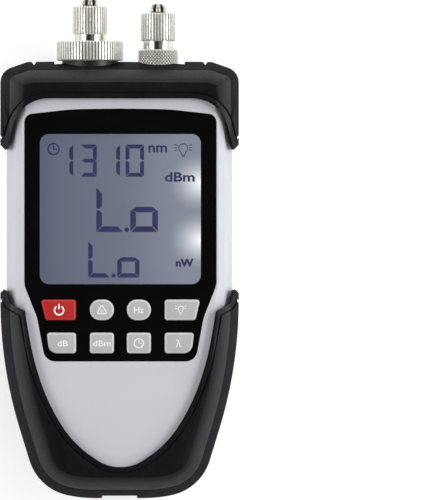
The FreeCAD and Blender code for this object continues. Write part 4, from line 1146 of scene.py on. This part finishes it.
@dataclass
class Keypad:
    """The eight keys with their printed legends."""

    shop: Shop
    legend: float = 0.025
    edge: float = 0.16
    fold_low: float = 25.0
    fold_high: float = 80.0

    def build(self) -> None:
        """Round each key's edges and print its legend."""
        for node in self.shop.slots:
            if node.endswith("_key"):
                self.shop.softened(f"{node}_cap", node, node.replace("_key", "_button"), self.edge,
                                   self.fold_low, self.fold_high)
        self.shop.dress_node("key_mat")
        for node, draw in (("power_key", self.power), ("laser_key", self.laser), ("tone_key", self.tone),
                           ("backlight_key", self.backlight), ("relative_key", self.relative),
                           ("absolute_key", self.absolute), ("timer_key", self.timer),
                           ("wavelength_key", self.wavelength)):
            low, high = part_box(node)
            marks = Marks(high.z / MM, self.legend)
            draw(marks, (low.x + high.x) / 2 / MM, (low.y + high.y) / 2 / MM)
            name = node.replace("_key", "_legend")
            self.shop.keep(name, marks.finished(name), node.replace("_key", "_button"), self.shop.slots[node],
                           finish=Part.LEGEND.value)

    def power(self, marks: Marks, x: float, y: float) -> None:
        """Draw the on-off symbol about (x, y)."""
        x += 0.1
        marks.arc((x, y - 0.1), 1.3, 0.42, 125, 415)
        marks.stroke([(x, y + 0.35), (x, y + 1.55)], 0.42)

    def laser(self, marks: Marks, x: float, y: float) -> None:
        """Draw the warning triangle with a burst.

        Args:
            marks: takes the drawing.
            x, y: the middle of the key.
        """
        corners = [(x - 1.5, y - 1.1), (x + 1.5, y - 1.1), (x, y + 1.5)]
        marks.stroke(corners + [corners[0]], 0.3)
        for step in range(6):
            angle = TAU * step / 6 + 0.26
            marks.stroke([(x, y - 0.35), (x + 0.52 * math.cos(angle), y - 0.35 + 0.52 * math.sin(angle))], 0.14)

    def tone(self, marks: Marks, x: float, y: float) -> None:
        """Print the frequency unit about (x, y)."""
        marks.text("Hz", (x, y), 2.75, 1.75, 0.4)

    def backlight(self, marks: Marks, x: float, y: float) -> None:
        """Draw the lamp symbol.

        Args:
            marks: takes the drawing.
            x, y: the middle of the key.
        """
        x -= 0.4
        marks.arc((x, y + 0.35), 0.72, 0.24, -45, 225)
        marks.stroke([(x - 0.45, y - 0.25), (x - 0.28, y - 0.85), (x + 0.28, y - 0.85), (x + 0.45, y - 0.25)], 0.24)
        marks.stroke([(x - 0.2, y - 1.2), (x + 0.2, y - 1.2)], 0.26)
        for side in (-1, 1):
            for rise in (0.0, 0.55):
                marks.stroke([(x + side * 1.1, y + 0.35 + rise), (x + side * 1.5, y + 0.4 + rise * 1.5)], 0.18)

    def relative(self, marks: Marks, x: float, y: float) -> None:
        """Print the ratio unit about (x, y)."""
        marks.text("dB", (x + 0.3, y - 0.1), 2.9, 1.65, 0.3)

    def absolute(self, marks: Marks, x: float, y: float) -> None:
        """Print the power unit about (x, y)."""
        marks.text("dBm", (x, y - 0.1), 5.0, 1.65, 0.3)

    def timer(self, marks: Marks, x: float, y: float) -> None:
        """Draw the clock about (x, y)."""
        marks.arc((x, y - 0.05), 1.3, 0.3)
        marks.stroke([(x, y + 0.85), (x, y - 0.05), (x + 0.75, y - 0.05)], 0.26)

    def wavelength(self, marks: Marks, x: float, y: float) -> None:
        """Print the wavelength symbol about (x, y)."""
        marks.text("λ", (x - 0.1, y - 0.1), 1.75, 2.2, 0.3)


@dataclass(frozen=True)
class Port:
    """Where one port's axis stands and what closes it."""

    name: str
    axis_x: float
    cap_low: float
    cap_high: float


@dataclass
class Ports:
    """The detector and source ports: knurled ring and collar, threaded barrels and dust caps."""

    shop: Shop
    axis_z: float = 19.0
    ring_ribs: int = 64
    cap_ribs: int = 36
    diamonds: int = 36
    diamond_lead: float = 1.05
    rib_gap: float = 0.20
    ring_cut: float = 0.36
    cap_cut: float = 0.40
    diamond_cut: float = 0.34
    ring_bore: float = 8.06
    neck_bore: float = 4.46
    collar_bore: float = 4.75
    cap_bore: float = 4.06
    rivet_bore: float = 0.86
    cap_radius: float = 5.08
    petals: int = 6
    detector: Port = Port("detector", -8.4, 60.75, 68.75)
    source: Port = Port("source", 11.0, 58.85, 66.85)

    def build(self) -> None:
        """Build the metalwork."""
        for node in ("photodiode", "detector_adapter", "detector_sleeve", "source_receptacle", "source_module",
                     "source_sleeve"):
            self.shop.dress_node(node)
        self.shop.dress_node("detector_socket", finish=Part.BLACKENED.value)
        self.ring()
        self.collar()
        for port in (self.detector, self.source):
            self.cap(port)
            self.crown(port)

    def ribs(self, count: int, depth: float, gap: float) -> Callable[[float, float], float]:
        """Return a cut of straight grooves between broad ribs.

        Args:
            count: ribs round the axis.
            depth: of the grooves, in millimetres.
            gap: half the groove's share of the pitch.

        Returns:
            The cut's depth at an angle and a y.
        """
        def cut(angle: float, _y: float) -> float:
            """Return the groove's depth at an angle."""
            part = (angle * count / TAU) % 1.0
            return depth * min(1.0, max(0.0, 1.0 - abs(part - 0.5) / gap) * 1.7)
        return cut

    def ring(self) -> None:
        """Cut the detector's coupling ring."""
        low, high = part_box("coupling_ring")
        y0, y1, reach = low.y / MM, high.y / MM, (high.x - low.x) / 2 / MM
        profile = [(y0, self.ring_bore, 0), (y0, reach - 0.45, 0.2), (y0 + 0.3, reach - 0.02, 1),
                   (y0 + 2.6, reach, 1), (y1 - 0.42, reach, 1), (y1 - 0.3, reach - 0.05, 1),
                   (y1 - 0.12, reach - 0.28, 0.5), (y1, reach - 0.62, 0), (y1, 6.2, 0), (y1, self.neck_bore, 0),
                   (y1 - 1.3, self.neck_bore, 0), (y1 - 1.3, self.ring_bore, 0)]
        data = ring_mesh("ribbed_ring", self.detector.axis_x, self.axis_z, profile, self.ring_ribs * 10,
                         self.ribs(self.ring_ribs, self.ring_cut, self.rib_gap))
        self.shop.keep("ribbed_ring", data, "ring", "nickel", ["coupling_ring"], Part.KNURLED.value, 34)

    def collar(self) -> None:
        """Cut the source's collar with crossed spiral grooves."""
        low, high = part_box("source_collar")
        y0, y1, reach = low.y / MM, high.y / MM, (high.x - low.x) / 2 / MM

        def cut(angle: float, y: float) -> float:
            """Find the deeper of the two spirals.

            Args:
                angle: round the axis.
                y: along it, in millimetres.

            Returns:
                The cut's depth.
            """
            deepest = 0.0
            for way in (1, -1):
                part = (angle * self.diamonds / TAU + way * y / self.diamond_lead) % 1.0
                deepest = max(deepest, 1.0 - min(part, 1 - part) / 0.3)
            return self.diamond_cut * deepest

        knurl = [(y, reach, 1) for y in (51.9 + 0.13 * step for step in range(32))]
        profile = [(y0, self.collar_bore, 0), (y0, reach - 0.2, 0)]
        profile += knurl
        profile += [(y1 - 0.3, reach, 0.15), (y1, reach - 0.4, 0), (y1, self.collar_bore, 0)]
        data = ring_mesh("knurled_collar", self.source.axis_x, self.axis_z, profile, self.diamonds * 10, cut)
        self.shop.keep("knurled_collar", data, "case", "nickel", ["source_collar"], Part.KNURLED.value, 28)

    def cap(self, port: Port) -> None:
        """Cut a dust cap.

        Args:
            port: the port that it closes.
        """
        y0, y1, reach = port.cap_low, port.cap_high, self.cap_radius
        profile = [(y0, self.cap_bore, 0), (y0, reach - 0.4, 0.9), (y0 + 0.32, reach - 0.04, 1), (y0 + 0.6, reach, 1),
                   (y0 + 3.5, reach, 1), (y1 - 0.5, reach, 1), (y1 - 0.36, reach - 0.06, 1),
                   (y1 - 0.14, reach - 0.26, 0.8), (y1, reach - 0.62, 0.4), (y1, 2.6, 0),
                   (y1, self.rivet_bore, 0), (y1 - 1.5, self.rivet_bore, 0), (y1 - 1.5, self.cap_bore, 0)]
        name = f"{port.name}_fluted_cap"
        data = ring_mesh(name, port.axis_x, self.axis_z, profile, self.cap_ribs * 12,
                         self.ribs(self.cap_ribs, self.cap_cut, self.rib_gap))
        self.shop.keep(name, data, f"{port.name}_cap", "nickel", [f"{port.name}_cap"], Part.KNURLED.value, 34)

    def crown(self, port: Port) -> None:
        """Form the petalled lanyard swivel that is riveted to a cap.

        Args:
            port: the port that its cap closes.
        """
        node = f"{port.name}_cap_swivel"
        low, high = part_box(node)
        y0, y1 = low.y / MM, high.y / MM
        base = port.cap_high + 0.05

        def cut(angle: float, _y: float) -> float:
            """Return the depth between petals at an angle."""
            part = (angle * self.petals / TAU) % 1.0
            wave = 0.5 - 0.5 * math.cos(TAU * part)
            return 0.35 * wave + 0.95 * max(0.0, 1.0 - abs(part - 0.5) / 0.14)

        profile = [(y0, 0.3, 0), (y0, 1.55, 0), (y0 + 0.1, 1.6, 0), (y0 + 0.4, 1.6, 0), (y0 + 0.4, 0.79, 0),
                   (base, 0.79, 0), (base, 1.9, 0), (base + 0.12, 2.25, 0.5), (base + 0.4, 2.5, 1),
                   (base + 0.85, 2.5, 1), (base + 1.3, 2.38, 1), (base + 1.75, 2.14, 1),
                   (y1 - 0.3, 1.86, 0.9), (y1 - 0.08, 1.5, 0.6), (y1, 1.1, 0.3), (y1 - 0.25, 0.7, 0.1),
                   (y1 - 0.9, 0.6, 0), (y1 - 0.9, 0.3, 0)]
        name = f"{port.name}_petals"
        data = ring_mesh(name, port.axis_x, self.axis_z, profile, 96, cut, closed=False)
        self.shop.keep(name, data, f"{port.name}_swivel", "nickel", [node], Part.PETAL.value, 40)


@dataclass
class Back:
    """The battery cover, the stand and the screws."""

    shop: Shop

    def build(self) -> None:
        """Dress the back."""
        for node in ("battery_cover", "cover_screw", "tilt_stand", "housing_screws"):
            self.shop.dress_node(node)


@dataclass
class Internals:
    """What the case holds."""

    shop: Shop

    def build(self) -> None:
        """Dress the board, the battery and the rest."""
        for node in ("main_board", "board_chips", "buzzer", "board_screws", "battery", "battery_snap",
                     "battery_contacts", "control_panel"):
            self.shop.dress_node(node)


# ---------------------------------------------------------------- studio
@dataclass(frozen=True)
class Lamp:
    """A square soft lamp: where it hangs, how wide it is and how bright, in metres and light level."""

    name: str
    place: tuple[float, float, float]
    size: float
    level: float


@dataclass
class Studio:
    """A white table top, soft light from all sides and a long lens above."""

    aim: tuple[float, float, float] = (27.2, -0.66, 19.0)
    stand_x: float = -54.0
    distance: float = 4.0
    view_height: float = 142.5
    sensor: float = 36.0
    ceiling: tuple[tuple[float, float], ...] = ((0.0, 1.0), (0.22, 1.0), (0.26, 0.03), (0.53, 0.03), (0.55, 0.17),
                                                (0.82, 0.20), (0.87, 1.0), (1.0, 1.0))
    ceiling_from: float = 0.52
    ceiling_to: float = 0.66
    ring: float = 1.05
    floor_reach: float = 3.0
    floor_drop: float = 0.05
    floor_lift: float = 0.5
    lamps: tuple[Lamp, ...] = (Lamp("lamp_left", (-0.95, 0.15, 0.85), 0.55, 3.8),
                               Lamp("lamp_right", (1.0, 0.2, 0.85), 0.6, 7.5),
                               Lamp("lamp_head", (0.1, 1.1, 0.6), 0.5, 2.2))

    def build(self) -> None:
        """Set up the world, the floor, the lamps and the camera."""
        scene = bpy.context.scene
        scene.view_settings.view_transform = "Standard"
        self.light_world(scene)
        self.lay_floor()
        self.hang_lamps()
        self.place_camera(scene)

    def light_world(self, scene: bpy.types.Scene) -> None:
        """Surround the table with a bright band under a darker ceiling, and show plain white behind the part.

        Args:
            scene: the scene.
        """
        scene.world = bpy.data.worlds.new("studio")
        graph = Graph(scene.world)
        parts = graph.node("ShaderNodeSeparateXYZ", {0: graph.where.outputs["Generated"]})
        across = graph.spread(parts.outputs["X"], 0, 1, -1, 1)
        ceiling = graph.ramp(across, [(stop, (level, level, level)) for stop, level in self.ceiling])
        height = graph.spread(parts.outputs["Z"], 0, 1, self.ceiling_from, self.ceiling_to)
        dome = graph.mixed(height, (1, 1, 1), ceiling)
        glow = graph.node("ShaderNodeBackground", {0: dome, 1: self.ring})
        white = graph.node("ShaderNodeBackground", {0: (1, 1, 1, 1), 1: 1.0})
        path = graph.node("ShaderNodeLightPath")
        seen = graph.sums("MAXIMUM", path.outputs["Is Camera Ray"], path.outputs["Is Transmission Ray"])
        mix = graph.node("ShaderNodeMixShader", {0: seen, 1: glow.outputs[0], 2: white.outputs[0]})
        graph.node("ShaderNodeOutputWorld", {0: mix.outputs[0]})

    def lay_floor(self) -> None:
        """Lay the white table top just under the part."""
        mesh = bmesh.new()
        bmesh.ops.create_grid(mesh, x_segments=4, y_segments=4, size=self.floor_reach)
        data = bpy.data.meshes.new("table_top")
        mesh.to_mesh(data)
        mesh.free()
        graph = Graph(bpy.data.materials.new("table_top"))
        cloth = graph.ramp(graph.noise(3, 2), [(0.3, (0.78, 0.78, 0.78)), (0.7, (0.8, 0.8, 0.8))])
        paint = graph.node("ShaderNodeBsdfDiffuse", {"Color": cloth})
        path = graph.node("ShaderNodeLightPath")
        seen = graph.sums("MAXIMUM", path.outputs["Is Camera Ray"], path.outputs["Is Glossy Ray"])
        seen = graph.sums("MAXIMUM", seen, path.outputs["Is Transmission Ray"])
        strength = graph.sums("MULTIPLY", seen, self.floor_lift)
        lift = graph.node("ShaderNodeEmission", {"Color": (1, 1, 1, 1), "Strength": strength})
        both = graph.node("ShaderNodeAddShader", {0: paint.outputs[0], 1: lift.outputs[0]})
        data.materials.append(graph.surface(both.outputs[0]))
        floor = bpy.data.objects.new("table_top", data)
        floor.location = (self.aim[0] * MM, 0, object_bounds()[0][2] - self.floor_drop * MM)
        bpy.context.scene.collection.objects.link(floor)
        floor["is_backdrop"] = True

    def hang_lamps(self) -> None:
        """Hang soft lamps to the left, to the right and beyond the ports."""
        for lamp in self.lamps:
            light = bpy.data.lights.new(lamp.name, "AREA")
            light.shape = "SQUARE"
            light.size = lamp.size
            light.energy = lamp.level * math.pi * lamp.size ** 2
            hung = bpy.data.objects.new(lamp.name, light)
            hung.location = lamp.place
            hung.rotation_euler = (-Vector(lamp.place)).to_track_quat("-Z", "Y").to_euler()
            bpy.context.scene.collection.objects.link(hung)

    def place_camera(self, scene: bpy.types.Scene) -> None:
        """Hold a long lens almost straight above the table, a little to the part's left.

        Args:
            scene: the scene.
        """
        target = Vector(self.aim) * MM
        place = Vector((self.stand_x * MM, target.y, target.z + self.distance))
        data = bpy.data.cameras.new("camera")
        data.sensor_fit = "VERTICAL"
        data.sensor_height = self.sensor
        data.lens = self.sensor * (target - place).length / (self.view_height * MM)
        data.clip_start = 0.05
        data.clip_end = 50
        camera = bpy.data.objects.new("camera", data)
        camera.location = place
        camera.rotation_euler = (0, -math.atan2(target.x - place.x, self.distance), 0)
        scene.collection.objects.link(camera)
        scene.camera = camera


def main() -> None:
    """Build every sub-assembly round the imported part."""
    logging.basicConfig(level=logging.INFO, format="%(message)s")
    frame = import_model()
    shop = Shop(frame, Palette())
    for assembly in (Housing(shop), Bumpers(shop), Display(shop), Keypad(shop), Ports(shop), Back(shop),
                     Internals(shop)):
        assembly.build()
        LOG.info("%s built", type(assembly).__name__)
    Studio().build()


if __name__ == "__main__":
    main()
